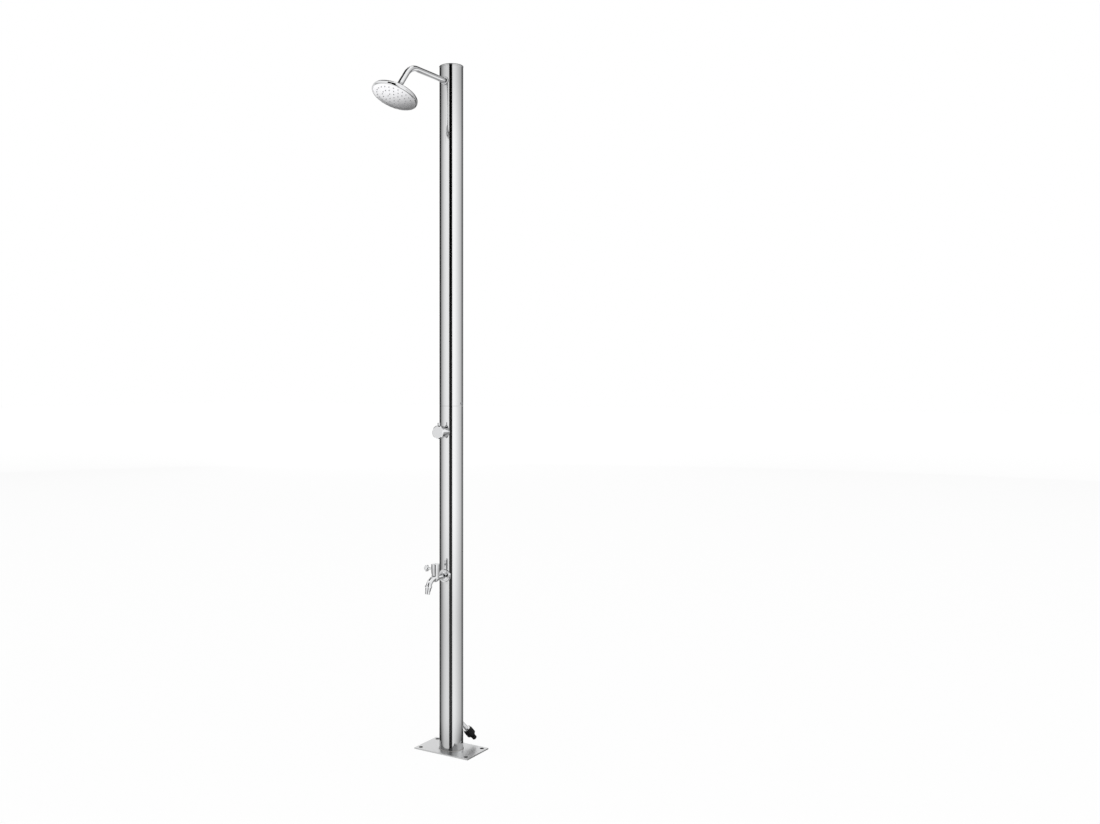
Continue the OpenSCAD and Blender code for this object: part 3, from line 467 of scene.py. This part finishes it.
def seen_sharp(tree):
    """1 for what the lens sees, straight, in a mirror or through glass, and 0 for matt light"""
    light = put(tree, "ShaderNodeLightPath")
    seen = math_node(tree, "MAXIMUM", (light, "Is Camera Ray"), (light, "Is Glossy Ray"))
    return math_node(tree, "MAXIMUM", seen, (light, "Is Transmission Ray"))


# ---------------------------------------------------------------- finishes


def polished_steel(settings):
    """Polished stainless steel with faint lines along the tube and wiped patches"""
    material, tree, shader, vector = new_material("polished_steel", 1.0)
    grain = place_group(tree, "polishing_grain", vector)
    haze = place_group(tree, "wiped_haze", vector)
    vary_colour(tree, shader, (grain, "Mask"), scaled(settings.steel, 0.985), settings.steel)
    vary_roughness(tree, shader, (haze, "Marks"), settings.steel_gloss * 0.8,
                   settings.steel_gloss * 1.2)
    add_bump(tree, shader, (grain, "Height"), 0.003 * MM, 0.2)
    return material


# Width of the painted dark rim round a hole of the foot plate: where it starts to fade, where it
# ends
HOLE_SHADE_RIM = (0.4 * MM, 1.2 * MM)
# Share of its colour that the plate keeps where another part mirrors it: painted shade, as if the
# post stood in its light
PLATE_SHADE_IN_MIRROR = 0.62


def brushed_plate(settings):
    """Brushed stainless steel of the foot plate, with fine lines along its length, and painted
    shade in its holes and where other parts mirror it
    """
    material, tree, shader, vector = new_material("brushed_plate", 1.0)
    along = vector_node(tree, "MULTIPLY", vector, (0.04, 1.0, 1.0))
    grain = place_group(tree, "polishing_grain", along, {"Lines per metre": 1200.0})
    haze = place_group(tree, "wiped_haze", vector)
    colour = vary_colour(tree, shader, (grain, "Mask"), scaled(settings.steel, 0.74),
                         scaled(settings.steel, 0.84))
    vary_roughness(tree, shader, (haze, "Haze"), settings.plate_gloss * 0.85,
                   settings.plate_gloss * 1.15)
    add_bump(tree, shader, (grain, "Height"), 0.006 * MM, 0.4)
    # Painted shade in the holes: their walls and a narrow rim round them are darkened
    quarter = vector_node(tree, "ABSOLUTE", vector)
    flat = vector_node(tree, "MULTIPLY", quarter, (1.0, 1.0, 0.0))
    from_hole = vector_node(tree, "DISTANCE", flat, (*PLATE_HOLES[-1], 0.0), "Value")
    unpainted = span(tree, from_hole, HOLE_R + HOLE_SHADE_RIM[0], HOLE_R + HOLE_SHADE_RIM[1])
    # Painted shade: another part mirrors the plate darker, as if the post stood in its light there
    light = put(tree, "ShaderNodeLightPath")
    mirrored = span(tree, (light, "Is Glossy Ray"), 0.0, 1.0, 1.0, PLATE_SHADE_IN_MIRROR)
    darken(tree, shader, colour, math_node(tree, "MULTIPLY", unpainted, mirrored),
           (0.012, 0.012, 0.012))
    return material


# Band of the cap's rounded edge that carries a painted dark reflection: depth under its top and
# distance in from the tube's wall, each with where the dark ends and where the steel's own colour
# is back
CAP_BAND_DOWN = (1.9 * MM, 2.4 * MM)
CAP_BAND_IN = (2.6 * MM, 3.2 * MM)


def cap_steel(settings):
    """Polished steel of the cap, with a painted dark reflection on its rounded edge"""
    material, tree, shader, vector = new_material("cap_steel", 1.0)
    rings = place_group(tree, "turning_rings", vector, {"Rings per metre": 900.0})
    colour = vary_colour(tree, shader, (rings, "Height"), scaled(settings.steel, 0.97),
                         settings.steel)
    vary_roughness(tree, shader, (rings, "Height"), settings.steel_gloss,
                   settings.steel_gloss * 1.5)
    # Painted dark reflection: a band of the rounded edge is darkened
    height = (separated(tree, vector), "Z")
    under = span(tree, height, CAP_TOP - CAP_BAND_DOWN[0], CAP_TOP - CAP_BAND_DOWN[1])
    flat = vector_node(tree, "MULTIPLY", vector, (1.0, 1.0, 0.0))
    from_axis = vector_node(tree, "LENGTH", flat, output="Value")
    inside = span(tree, from_axis, TUBE_R - CAP_BAND_IN[0], TUBE_R - CAP_BAND_IN[1])
    unpainted = math_node(tree, "MAXIMUM", under, inside)
    darken(tree, shader, colour, unpainted, scaled(settings.steel, 0.12))
    return material


def bright_chrome(settings):
    """Chrome plating with light wiping marks"""
    material, tree, shader, vector = new_material("bright_chrome", 1.0)
    haze = place_group(tree, "wiped_haze", vector,
                       {"Patches per metre": 45.0, "Drops per metre": 260.0})
    vary_colour(tree, shader, (haze, "Haze"), settings.chrome, scaled(settings.chrome, 0.985))
    vary_roughness(tree, shader, (haze, "Marks"), settings.chrome_gloss * 0.7,
                   settings.chrome_gloss * 1.6)
    return material


def satin_face(settings):
    """Satin stainless steel of the spray face"""
    material, tree, shader, vector = new_material("satin_face", 1.0)
    mould = place_group(tree, "moulded_texture", vector, {"Grains per metre": 1800.0})
    haze = place_group(tree, "wiped_haze", vector, {"Patches per metre": 30.0})
    vary_colour(tree, shader, (haze, "Haze"), settings.face, scaled(settings.face, 0.97))
    vary_roughness(tree, shader, (haze, "Haze"), 0.11, 0.15)
    add_bump(tree, shader, (mould, "Height"), 0.003 * MM, 0.2)
    return material


def weld_metal():
    """Weld bead: bare steel with straw and blue heat colours"""
    material, tree, shader, vector = new_material("weld_metal", 1.0)
    haze = place_group(tree, "wiped_haze", vector, {"Patches per metre": 90.0})
    mould = place_group(tree, "moulded_texture", vector, {"Grains per metre": 3000.0})
    vary_colour(tree, shader, (haze, "Haze"), (0.30, 0.30, 0.32), (0.50, 0.48, 0.44))
    vary_roughness(tree, shader, (haze, "Haze"), 0.26, 0.45)
    add_bump(tree, shader, (mould, "Height"), 0.03 * MM, 0.4)
    return material


def plain_steel():
    """Mill-finish stainless steel of the parts inside the post"""
    material, tree, shader, vector = new_material("plain_steel", 1.0)
    grain = place_group(tree, "polishing_grain", vector, {"Lines per metre": 1500.0, "Run": 60.0})
    vary_colour(tree, shader, (grain, "Mask"), (0.50, 0.51, 0.52), (0.62, 0.63, 0.64))
    vary_roughness(tree, shader, (grain, "Mask"), 0.3, 0.45)
    add_bump(tree, shader, (grain, "Height"), 0.01 * MM, 0.4)
    return material


def turned_steel():
    """Turned stainless steel of the screws"""
    material, tree, shader, vector = new_material("turned_steel", 1.0)
    rings = place_group(tree, "turning_rings", vector)
    vary_colour(tree, shader, (rings, "Height"), (0.62, 0.63, 0.64), (0.72, 0.73, 0.74))
    vary_roughness(tree, shader, (rings, "Height"), 0.3, 0.45)
    add_bump(tree, shader, (rings, "Height"), 0.02 * MM, 0.3)
    return material


def machined_brass(settings):
    """Machined brass with tarnish in patches"""
    material, tree, shader, vector = new_material("machined_brass", 1.0)
    rings = place_group(tree, "turning_rings", vector)
    haze = place_group(tree, "wiped_haze", vector, {"Patches per metre": 50.0})
    vary_colour(tree, shader, (haze, "Haze"), settings.brass, scaled(settings.brass, 0.8))
    vary_roughness(tree, shader, (haze, "Haze"), 0.22, 0.42)
    add_bump(tree, shader, (rings, "Height"), 0.02 * MM, 0.3)
    return material


def moulded(name, colour, roughness, grains, depth, shade=0.85, **constants):
    """Moulded plastic, rubber or ceramic: its lowest and highest roughness, the grains per metre
    and depth of its texture, and the share of its colour that its darker patches have"""
    material, tree, shader, vector = new_material(name, **constants)
    mould = place_group(tree, "moulded_texture", vector, {"Grains per metre": grains})
    vary_colour(tree, shader, (mould, "Mask"), scaled(colour, shade), colour)
    vary_roughness(tree, shader, (mould, "Mask"), *roughness)
    add_bump(tree, shader, (mould, "Height"), depth, 0.5)
    return material


def braided_hose(settings):
    """Clear hose over a braid: thin crossing threads"""
    material, tree, shader, vector = new_material("braided_hose")
    # Factors on the coordinates across the hose and along it
    across, along = 700.0, 320.0
    waves = []
    for turn in (-1, 1):
        lean = vector_node(tree, "MULTIPLY", vector, (across, across * turn, along))
        wave = put(tree, "ShaderNodeTexWave", {"Scale": 1.0, "Distortion": 0.3},
                   wave_type="BANDS", bands_direction="DIAGONAL")
        join(tree, lean, wave, "Vector")
        waves.append((wave, "Fac"))
    threads = math_node(tree, "MAXIMUM", *waves)
    vary_colour(tree, shader, threads, scaled(settings.hose, 0.75), settings.hose)
    vary_roughness(tree, shader, threads, 0.28, 0.5)
    add_bump(tree, shader, threads, 0.2 * MM, 0.5)
    return material


def dress(nodes, material):
    """Gives every slot of those CAD nodes the material"""
    for name in nodes:
        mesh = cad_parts[name].data
        mesh.materials.clear()
        mesh.materials.append(material)


# ---------------------------------------------------------------- places and meshes


def round_post(azimuth, distance, z):
    """Place at that azimuth round the post, from its front towards +X, and that far from it"""
    return distance * math.sin(azimuth), -distance * math.cos(azimuth), z


def new_object(name, bm, smooth=True, outward=True):
    """Object from that bmesh, with its faces turned outward unless their own sides matter"""
    mesh = bpy.data.meshes.new(name)
    if outward:
        bmesh.ops.recalc_face_normals(bm, faces=bm.faces)
    bm.to_mesh(mesh)
    bm.free()
    if smooth:
        mesh.polygons.foreach_set("use_smooth", [True] * len(mesh.polygons))
    made = bpy.data.objects.new(name, mesh)
    bpy.context.scene.collection.objects.link(made)
    return made


def swept_ring(name, section_at, steps, points):
    """Closed tube through a ring of sections; section_at(i) gives each section's points"""
    bm = bmesh.new()
    rings = [[bm.verts.new(p) for p in section_at(i)] for i in range(steps)]
    for i in range(steps):
        near, far = rings[i], rings[(i + 1) % steps]
        for j in range(points):
            k = (j + 1) % points
            bm.faces.new((near[j], near[k], far[k], far[j]))
    return new_object(name, bm)


# Points round a weld bead's section, sections in one ripple, how far it sinks into the walls, and
# how much further from its corner the crown stands than a flat face would, as a share
BEAD_POINTS = 9
BEAD_STEPS = 6
BEAD_SINK = 0.4 * MM
BEAD_CROWN = 0.25
# Length of the saddle curve of the inlet pipe against the pipe's girth, and half the turn, in
# radians, over which its direction is taken
SADDLE_STRETCH = 1.3
SADDLE_NUDGE = 0.01


def bead_points(corner, along, up, leg, rise):
    """Section of a weld bead in the corner of two walls that run off along and up: a point
    inside the corner, then a crowned face from toe to toe, raised by rise between the toes"""
    points = [corner - (along + up) * BEAD_SINK]
    last = BEAD_POINTS - 2
    for j in range(last + 1):
        turn = j / last * math.pi / 2
        reach = leg * (1 + BEAD_CROWN * math.sin(2 * turn)) / (math.cos(turn) + math.sin(turn))
        if 0 < j < last:
            reach += rise
        points.append(corner + along * (reach * math.cos(turn)) + up * (reach * math.sin(turn)))
    return points


# ---------------------------------------------------------------- operators


class ShowerOperator:
    """What every operator of this file shares"""

    bl_options = {"REGISTER", "UNDO"}


class SHOWER_OT_camera(ShowerOperator, bpy.types.Operator):
    """Place the camera"""

    bl_idname = "shower.camera"
    bl_label = "Camera"

    def execute(self, context):
        studio = context.scene.shower_stage
        data = bpy.data.cameras.new("camera")
        data.sensor_width = 36.0
        data.lens = studio.lens
        data.shift_x, data.shift_y = studio.aside, studio.rise
        data.clip_start, data.clip_end = 0.1, 100.0
        camera = bpy.data.objects.new("camera", data)
        context.scene.collection.objects.link(camera)
        camera.location = round_post(studio.azimuth, studio.distance, studio.height)
        camera.rotation_euler = (math.pi / 2, 0, studio.azimuth)
        context.scene.camera = camera
        return {"FINISHED"}


# Brightness of the studio panels round the post: (azimuth in degrees, level). Azimuth 0 is
# in front of the post and 90 to its +X side. A pale panel stands to the left of a black flag
# and another to its right, each falling off towards the back, and a small one stands behind
PANEL_LEVELS = (
    (-180, 0.10), (-166, 0.12), (-160, 0.52), (-151, 0.54), (-146, 0.92), (-134, 0.92),
    (-130, 0.01), (-92, 0.02), (-77, 0.34), (-36, 0.78), (-14, 0.91), (11.2, 0.91),
    (12.2, 0.0), (41.6, 0.0), (42.6, 1.05), (64, 1.05), (96, 0.82), (134, 0.56), (163, 0.14),
)
# The same above the middle panels, for the arm and the head: the flag and the dark back
HIGH_LEVELS = (
    (-180, 0.06), (-157, 0.06), (-150, 0.32), (-127, 0.32), (-120, 0.05), (-98, 0.05),
    (-90, 0.94), (-8, 0.94), (-6, 0.0), (41.6, 0.0), (42.6, 0.94), (110, 0.92), (150, 0.55),
    (159, 0.06),
)
# The same below the floor line, for the spray face: pale in front and at the sides, with a dark
# back
LOW_LEVELS = (
    (-180, 0.06), (-128, 0.04), (-125, 0.28), (-121, 1.05), (-118, 1.2), (-110, 1.2),
    (-102, 0.95), (80, 0.85), (125, 0.10),
)
# The same for the post's foot, where the floor shades its sides
FOOT_LEVELS = (
    (-180, 0.02), (-86, 0.0), (-56, 0.34), (-36, 0.53), (11.2, 0.55), (12.2, 0.0),
    (41.6, 0.0), (42.6, 0.80), (96, 0.36), (145, 0.0),
)
# Share of the middle panels' light by the height of the post that mirrors them, in metres
HEIGHT_SHARES = (
    (0.0, 0.80), (0.12, 0.84), (0.42, 0.77), (0.75, 1.0), (1.95, 1.0), (2.14, 0.76),
)
# Heights on the post between which the levels of its foot give way to the middle ones
FOOT_BLEND = (0.02, 0.09)
# How far over the place that the post's top mirrors the high levels start and are full, and how
# far under the place that its foot mirrors the low levels do so
HIGH_BLEND = (0.4, 0.9)
LOW_BLEND = (0.3, 0.9)
# Faint light over the middle panels and their gaps at the foot, and the height on the post where
# it has faded out
VEIL = 0.045
VEIL_TOP = 1.6
# Height of the panels over and under the floor, in panel distances, and the number of flat faces
# in their ring
PANEL_RISE = 1.5
PANEL_STEPS = 180
# Dark discs at the panels' top and foot, in panel distances: centre on X, height, radius
DARK_DISCS = ((-0.45, PANEL_RISE, 0.55), (0.0, -PANEL_RISE, 0.75))
# Level cards behind the post: their ends on X, their edges on Y and the share of their light at
# the edge beside the post; then, for each card, its height and the place on Y of its full light
CARD_ENDS = (-4.0, 5.0)
CARD_EDGES = (0.06, 6.0)
CARD_EDGE_SHARE = 0.1
ARM_CARD_Z, ARM_CARD_FULL = 1.9, 0.36
VALVE_CARD_Z, VALVE_CARD_FULL = 1.1, 0.10
# Upright card beside the head: its place on X, its edges on Y and on Z
HEAD_CARD_X = -0.12
HEAD_CARD_Y = (-0.37, -0.235)
HEAD_CARD_Z = (1.99, 2.14)
# Half the floor's side, the light of its white, and how far the discs of painted shade under the
# plate's holes stand over it and reach past those holes
FLOOR_HALF = 40.0
FLOOR_GLOW = 1.07
HOLE_SHADE_LIFT = 0.3 * MM
HOLE_SHADE_EXTRA = 0.5 * MM
# Share of the white that matt surfaces get from the world
WORLD_ON_MATT = 0.9


def stage_for_mirrors(thing):
    """Sets a thing so that only mirrors show it and it casts no shadow"""
    thing.visible_camera = thing.visible_diffuse = thing.visible_shadow = False


def grey_ramp(tree, source, levels, low, high):
    """Grey ramp through (place, level) pairs, over a source that runs from low to high"""
    ramp = put(tree, "ShaderNodeValToRGB")
    stops = ramp.color_ramp.elements
    while len(stops) > 1:
        stops.remove(stops[0])
    for i, (at, level) in enumerate(levels):
        place = (at - low) / (high - low)
        stop = stops[0] if i == 0 else stops.new(place)
        stop.position = place
        stop.color = (level, level, level, 1.0)
    join(tree, span(tree, source, low, high), ramp, "Fac")
    return ramp, "Color"


def panel_material(studio):
    """Light of the panels: brightness by direction round the post and by height"""
    material, tree = bare_material("studio_panels")
    place = put(tree, "ShaderNodeTexCoord")
    parts = separated(tree, (place, "Object"))
    front = math_node(tree, "MULTIPLY", (parts, "Y"), -1.0)
    angle = math_node(tree, "ARCTAN2", (parts, "X"), front)
    degrees = math_node(tree, "MULTIPLY", angle, 180 / math.pi)
    middle, high, at_foot, low = (
        grey_ramp(tree, degrees, levels, -180, 180)
        for levels in (PANEL_LEVELS, HIGH_LEVELS, FOOT_LEVELS, LOW_LEVELS))
    height = (parts, "Z")
    seen = [(studio.wall_seen(z), share) for z, share in HEIGHT_SHARES]
    foot, top = seen[0][0], seen[-1][0]
    lit = math_node(tree, "MULTIPLY", middle, grey_ramp(tree, height, seen, foot, top))
    veil = span(tree, height, foot, studio.wall_seen(VEIL_TOP), VEIL, 0.0)
    level = math_node(tree, "ADD", lit, veil)
    above = span(tree, height, top + HIGH_BLEND[0], top + HIGH_BLEND[1])
    near_foot = span(tree, height, *map(studio.wall_seen, FOOT_BLEND), 1.0, 0.0)
    below = span(tree, height, foot - LOW_BLEND[1], foot - LOW_BLEND[0], 1.0, 0.0)
    for share, other in ((above, high), (near_foot, at_foot), (below, low)):
        mix = put(tree, "ShaderNodeMix", data_type="FLOAT")
        join(tree, share, mix, "Factor")
        join(tree, level, mix, "A")
        join(tree, other, mix, "B")
        level = (mix, 0)
    # A mirror seen in a mirror is darker
    path = put(tree, "ShaderNodeLightPath")
    once = span(tree, (path, "Glossy Depth"), 1.0, 2.0, 1.0, studio.second_mirror)
    glow = put(tree, "ShaderNodeEmission")
    join(tree, math_node(tree, "MULTIPLY", level, once), glow, "Strength")
    show(tree, (glow, 0))
    return material


def one_sided_glow(name, level, fade):
    """Emission on the front of a card and nothing at all on its back. The fade, where there is
    one, is the places on Y of the card's edge beside the post and of its full light"""
    material, tree = bare_material(name)
    side = put(tree, "ShaderNodeNewGeometry")
    clear = put(tree, "ShaderNodeBsdfTransparent")
    glow = put(tree, "ShaderNodeEmission", {"Strength": level})
    if fade:
        place = put(tree, "ShaderNodeTexCoord")
        parts = separated(tree, (place, "Object"))
        near, full = fade
        faded = span(tree, (parts, "Y"), near, full, CARD_EDGE_SHARE * level, level)
        join(tree, faded, glow, "Strength")
    show(tree, mixed_shader(tree, (side, "Backfacing"), (glow, 0), (clear, 0)))
    return material


class SHOWER_OT_stage(ShowerOperator, bpy.types.Operator):
    """Build the floor, the studio panels and the light"""

    bl_idname = "shower.stage"
    bl_label = "Stage"

    def execute(self, context):
        studio = context.scene.shower_stage
        self.floor(studio)
        self.hole_shade_discs()
        self.panels(studio)
        self.ends(studio)
        self.cards(studio)
        self.world(context.scene)
        context.scene.view_settings.view_transform = "Standard"
        return {"FINISHED"}

    def floor(self, studio):
        """White floor that keeps a soft shadow under the plate"""
        bm = bmesh.new()
        bmesh.ops.create_grid(bm, x_segments=1, y_segments=1, size=FLOOR_HALF)
        floor = new_object("floor", bm, smooth=False)
        material, tree = bare_material("floor_white")
        paint = put(tree, "ShaderNodeBsdfDiffuse", {"Color": (0.8, 0.8, 0.8, 1.0)})
        glow = put(tree, "ShaderNodeEmission",
                   {"Color": (1.0, 1.0, 1.0, 1.0), "Strength": FLOOR_GLOW})
        share = math_node(tree, "MULTIPLY", seen_sharp(tree), studio.floor_white)
        show(tree, mixed_shader(tree, share, (paint, 0), (glow, 0)))
        floor.data.materials.append(material)
        floor.visible_glossy = False

    def hole_shade_discs(self):
        """Flat near-black discs on the floor under the four holes of the foot plate: painted shade
        in the holes
        """
        bm = bmesh.new()
        for x, y in PLATE_HOLES:
            bmesh.ops.create_circle(
                bm, cap_ends=True, segments=32, radius=HOLE_R + HOLE_SHADE_EXTRA,
                matrix=Matrix.Translation((x, y, HOLE_SHADE_LIFT)))
        holes = new_object("hole_shade_discs", bm, smooth=False)
        material, tree, shader, vector = new_material("painted_hole_shade", Roughness=0.9)
        mould = place_group(tree, "moulded_texture", vector, {"Grains per metre": 900.0})
        vary_colour(tree, shader, (mould, "Mask"), (0.002, 0.002, 0.002), (0.006, 0.006, 0.006))
        holes.data.materials.append(material)

    def ends(self, studio):
        """Dark discs that close the panels above and below, for round edges and bends to mirror"""
        bm = bmesh.new()
        for x, z, radius in DARK_DISCS:
            bmesh.ops.create_circle(
                bm, cap_ends=True, segments=64, radius=radius * studio.wall_r,
                matrix=Matrix.Translation((x * studio.wall_r, 0, z * studio.wall_r)))
        discs = new_object("dark_ends", bm, smooth=False)
        material, tree = bare_material("dark_ends")
        glow = put(tree, "ShaderNodeEmission", {"Strength": studio.dark_level})
        show(tree, (glow, 0))
        discs.data.materials.append(material)
        stage_for_mirrors(discs)

    def panels(self, studio):
        """Ring of pale studio panels with dark gaps, which the metal reflects"""
        bm = bmesh.new()
        turns = [2 * math.pi * i / PANEL_STEPS for i in range(PANEL_STEPS)]
        lower, upper = (
            [bm.verts.new(round_post(turn, studio.wall_r, z)) for turn in turns]
            for z in (-PANEL_RISE * studio.wall_r, PANEL_RISE * studio.wall_r))
        for i in range(PANEL_STEPS):
            k = (i + 1) % PANEL_STEPS
            bm.faces.new((lower[i], lower[k], upper[k], upper[i]))
        wall = new_object("studio_panels", bm)
        wall.data.materials.append(panel_material(studio))
        wall.visible_camera = False

    def cards(self, studio):
        """Level cards behind the post, one under the arm and lit upwards, one over the valve and
        the tap and lit downwards, and an upright card beside the head. A lens between the
        heights of the two level cards sees only their unlit sides in the upright tube"""
        (left, right), (near, far) = CARD_ENDS, CARD_EDGES
        flat = ((left, near), (right, near), (right, far), (left, far))
        self.card("arm_card", [(x, y, ARM_CARD_Z) for x, y in flat],
                  studio.card_level, (near, ARM_CARD_FULL))
        self.card("valve_card", [(x, y, VALVE_CARD_Z) for x, y in reversed(flat)],
                  studio.card_level, (near, VALVE_CARD_FULL))
        (front, back), (low, high) = HEAD_CARD_Y, HEAD_CARD_Z
        upright = ((front, low), (back, low), (back, high), (front, high))
        self.card("head_card", [(HEAD_CARD_X, y, z) for y, z in upright], studio.head_level)

    def card(self, name, corners, level, fade=None):
        """Card that is lit on the side from which its corners run anticlockwise"""
        bm = bmesh.new()
        bm.faces.new([bm.verts.new(corner) for corner in corners])
        card = new_object(name, bm, smooth=False, outward=False)
        card.data.materials.append(one_sided_glow(name, level, fade))
        stage_for_mirrors(card)

    def world(self, scene):
        """White round the stage, a little less on matt surfaces"""
        world = bpy.data.worlds.new("studio")
        world.use_nodes = True
        scene.world = world
        tree = world.node_tree
        sky = tree.nodes["Background"]
        sky.inputs["Color"].default_value = (1.0, 1.0, 1.0, 1.0)
        join(tree, span(tree, seen_sharp(tree), 0.0, 1.0, WORLD_ON_MATT, 1.0), sky, "Strength")


class SHOWER_OT_steel(ShowerOperator, bpy.types.Operator):
    """Finish the tubes, the foot plate, the cap, the inlet pipe and the fasteners"""

    bl_idname = "shower.steel"
    bl_label = "Steel"

    def execute(self, context):
        metal = context.scene.shower_metal
        dress(POLISHED, polished_steel(metal))
        dress(("base_plate",), brushed_plate(metal))
        dress(("top_cap",), cap_steel(metal))
        dress(PLAIN_STEEL, plain_steel())
        dress(TURNED_STEEL, turned_steel())
        return {"FINISHED"}


class SHOWER_OT_chrome(ShowerOperator, bpy.types.Operator):
    """Finish the plated arm, head, valve and tap"""

    bl_idname = "shower.chrome"
    bl_label = "Chrome"

    def execute(self, context):
        metal = context.scene.shower_metal
        dress(CHROMED, bright_chrome(metal))
        dress(("head_face_plate", "tap_index_cap"), satin_face(metal))
        return {"FINISHED"}


class SHOWER_OT_inner(ShowerOperator, bpy.types.Operator):
    """Finish the brass, the cartridge and the hoses inside the post"""

    bl_idname = "shower.inner"
    bl_label = "Inner Parts"

    def execute(self, context):
        metal, plastic = context.scene.shower_metal, context.scene.shower_plastic
        dress(BRASS, machined_brass(metal))
        dress(HOSES, braided_hose(plastic))
        dress(NYLON, moulded("nylon", plastic.nylon, roughness=(0.42, 0.58), grains=1500.0,
                             depth=0.02 * MM))
        dress(("valve_cartridge",),
              moulded("glazed_ceramic", (0.80, 0.80, 0.78), roughness=(0.16, 0.24),
                      grains=400.0, depth=0.01 * MM))
        return {"FINISHED"}


class SHOWER_OT_rubber(ShowerOperator, bpy.types.Operator):
    """Finish the gaskets, the nozzles and the hose connector"""

    bl_idname = "shower.rubber"
    bl_label = "Rubber and Plastic"

    def execute(self, context):
        plastic = context.scene.shower_plastic
        dress(RUBBER, moulded("black_rubber", plastic.rubber, roughness=(0.5, 0.7),
                              grains=2600.0, depth=0.04 * MM, shade=0.7))
        dress(("nozzle_mat",),
              moulded("grey_silicone", plastic.nozzle, roughness=(0.45, 0.6), grains=2200.0,
                      depth=0.03 * MM))
        dress(("hose_connector",),
              moulded("black_plastic", plastic.connector, roughness=(0.14, 0.26), grains=900.0,
                      depth=0.03 * MM, shade=0.7, Specular_IOR_Level=0.2))
        return {"FINISHED"}


class SHOWER_OT_welds(ShowerOperator, bpy.types.Operator):
    """Model the rippled weld beads at the foot and at the inlet"""

    bl_idname = "shower.welds"
    bl_label = "Weld Beads"

    def execute(self, context):
        weld = context.scene.shower_weld
        material = weld_metal()
        self.foot_bead(weld, material)
        self.inlet_bead(weld, material)
        return {"FINISHED"}

    def finish_bead(self, bead, material, node):
        """Puts the bead in the place of that node's plain weld"""
        bead.data.materials.append(material)
        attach(bead, "post")
        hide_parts(node)

    def leg_and_rise(self, weld, turn, phase):
        """Uneven leg of a hand-laid bead, and how far its ripple stands in from the crown"""
        leg = weld.leg * (1 + 0.06 * math.sin(5 * turn) + 0.04 * math.sin(13 * turn + 1))
        return leg, weld.height * (0.5 * math.sin(phase) - 0.5)

    def foot_bead(self, weld, material):
        """Bead round the tube on the foot plate"""
        ripples = round(2 * math.pi * TUBE_R / weld.ripple)
        steps = ripples * BEAD_STEPS

        def section(i):
            turn = 2 * math.pi * i / steps
            leg, rise = self.leg_and_rise(weld, turn, 2 * math.pi * i / BEAD_STEPS)
            outward = Vector((math.cos(turn), math.sin(turn), 0))
            corner = outward * TUBE_R + Vector((0, 0, PLATE_TOP))
            return bead_points(corner, outward, Vector((0, 0, 1)), leg, rise)

        bead = swept_ring("foot_weld_bead", section, steps, BEAD_POINTS)
        self.finish_bead(bead, material, "foot_weld")

    def inlet_bead(self, weld, material):
        """Bead along the saddle curve where the slanted inlet pipe leaves the tube"""
        outward = Vector((math.sin(weld.inlet_turn), -math.cos(weld.inlet_turn), 0))
        axis = outward * math.cos(weld.inlet_drop) - Vector((0, 0, math.sin(weld.inlet_drop)))
        side = outward.cross(Vector((0, 0, 1)))
        rise_axis = side.cross(axis)
        origin = outward * TUBE_R + Vector((0, 0, weld.inlet_z))
        girth = 2 * math.pi * weld.inlet_r
        steps = round(girth * SADDLE_STRETCH / weld.ripple) * BEAD_STEPS

        def on_saddle(turn):
            """Point of the pipe's wall that lies on the tube, and the pipe's normal there"""
            normal = side * math.cos(turn) + rise_axis * math.sin(turn)
            start = origin + normal * weld.inlet_r
            # start + axis * t lies on the tube where a * t^2 + 2 * b * t + c = 0
            a = axis.x ** 2 + axis.y ** 2
            b = start.x * axis.x + start.y * axis.y
            c = start.x ** 2 + start.y ** 2 - TUBE_R ** 2
            return start + axis * ((-b + math.sqrt(b * b - a * c)) / a), normal

        def section(i):
            turn = 2 * math.pi * i / steps
            leg, rise = self.leg_and_rise(weld, turn, 2 * math.pi * i / BEAD_STEPS)
            corner, pipe_normal = on_saddle(turn)
            run = on_saddle(turn + SADDLE_NUDGE)[0] - on_saddle(turn - SADDLE_NUDGE)[0]
            tube_normal = Vector((corner.x, corner.y, 0)).normalized()
            along_tube = run.cross(tube_normal).normalized()
            along_pipe = run.cross(pipe_normal).normalized()
            along_tube *= math.copysign(1, along_tube.dot(pipe_normal))
            along_pipe *= math.copysign(1, along_pipe.dot(tube_normal))
            return bead_points(corner, along_tube, along_pipe, leg, rise)

        bead = swept_ring("inlet_weld_bead", section, steps, BEAD_POINTS)
        self.finish_bead(bead, material, "inlet_weld")


class SHOWER_PT_panel(bpy.types.Panel):
    """Steps that dress the shower post"""

    bl_idname = "SHOWER_PT_panel"
    bl_label = "Shower Post"
    bl_space_type = "VIEW_3D"
    bl_region_type = "UI"
    bl_category = "Shower Post"

    def draw(self, context):
        for step in STEPS:
            self.layout.operator(step.bl_idname)
        for name in SETTINGS:
            box = self.layout.box()
            group = getattr(context.scene, name)
            for prop in group.bl_rna.properties:
                if prop.identifier not in {"rna_type", "name"}:
                    box.prop(group, prop.identifier)


# Operators in the order in which they run
STEPS = (
    SHOWER_OT_camera,
    SHOWER_OT_stage,
    SHOWER_OT_steel,
    SHOWER_OT_chrome,
    SHOWER_OT_inner,
    SHOWER_OT_rubber,
    SHOWER_OT_welds,
)
CLASSES = (*SETTINGS.values(), *STEPS, SHOWER_PT_panel)


def register():
    for cls in CLASSES:
        bpy.utils.register_class(cls)
    for name, cls in SETTINGS.items():
        setattr(bpy.types.Scene, name, PointerProperty(type=cls))


def unregister():
    for name in SETTINGS:
        delattr(bpy.types.Scene, name)
    for cls in reversed(CLASSES):
        bpy.utils.unregister_class(cls)


def main():
    register()
    for step in STEPS:
        area, name = step.bl_idname.split(".")
        getattr(getattr(bpy.ops, area), name)()


if __name__ == "__main__":
    main()
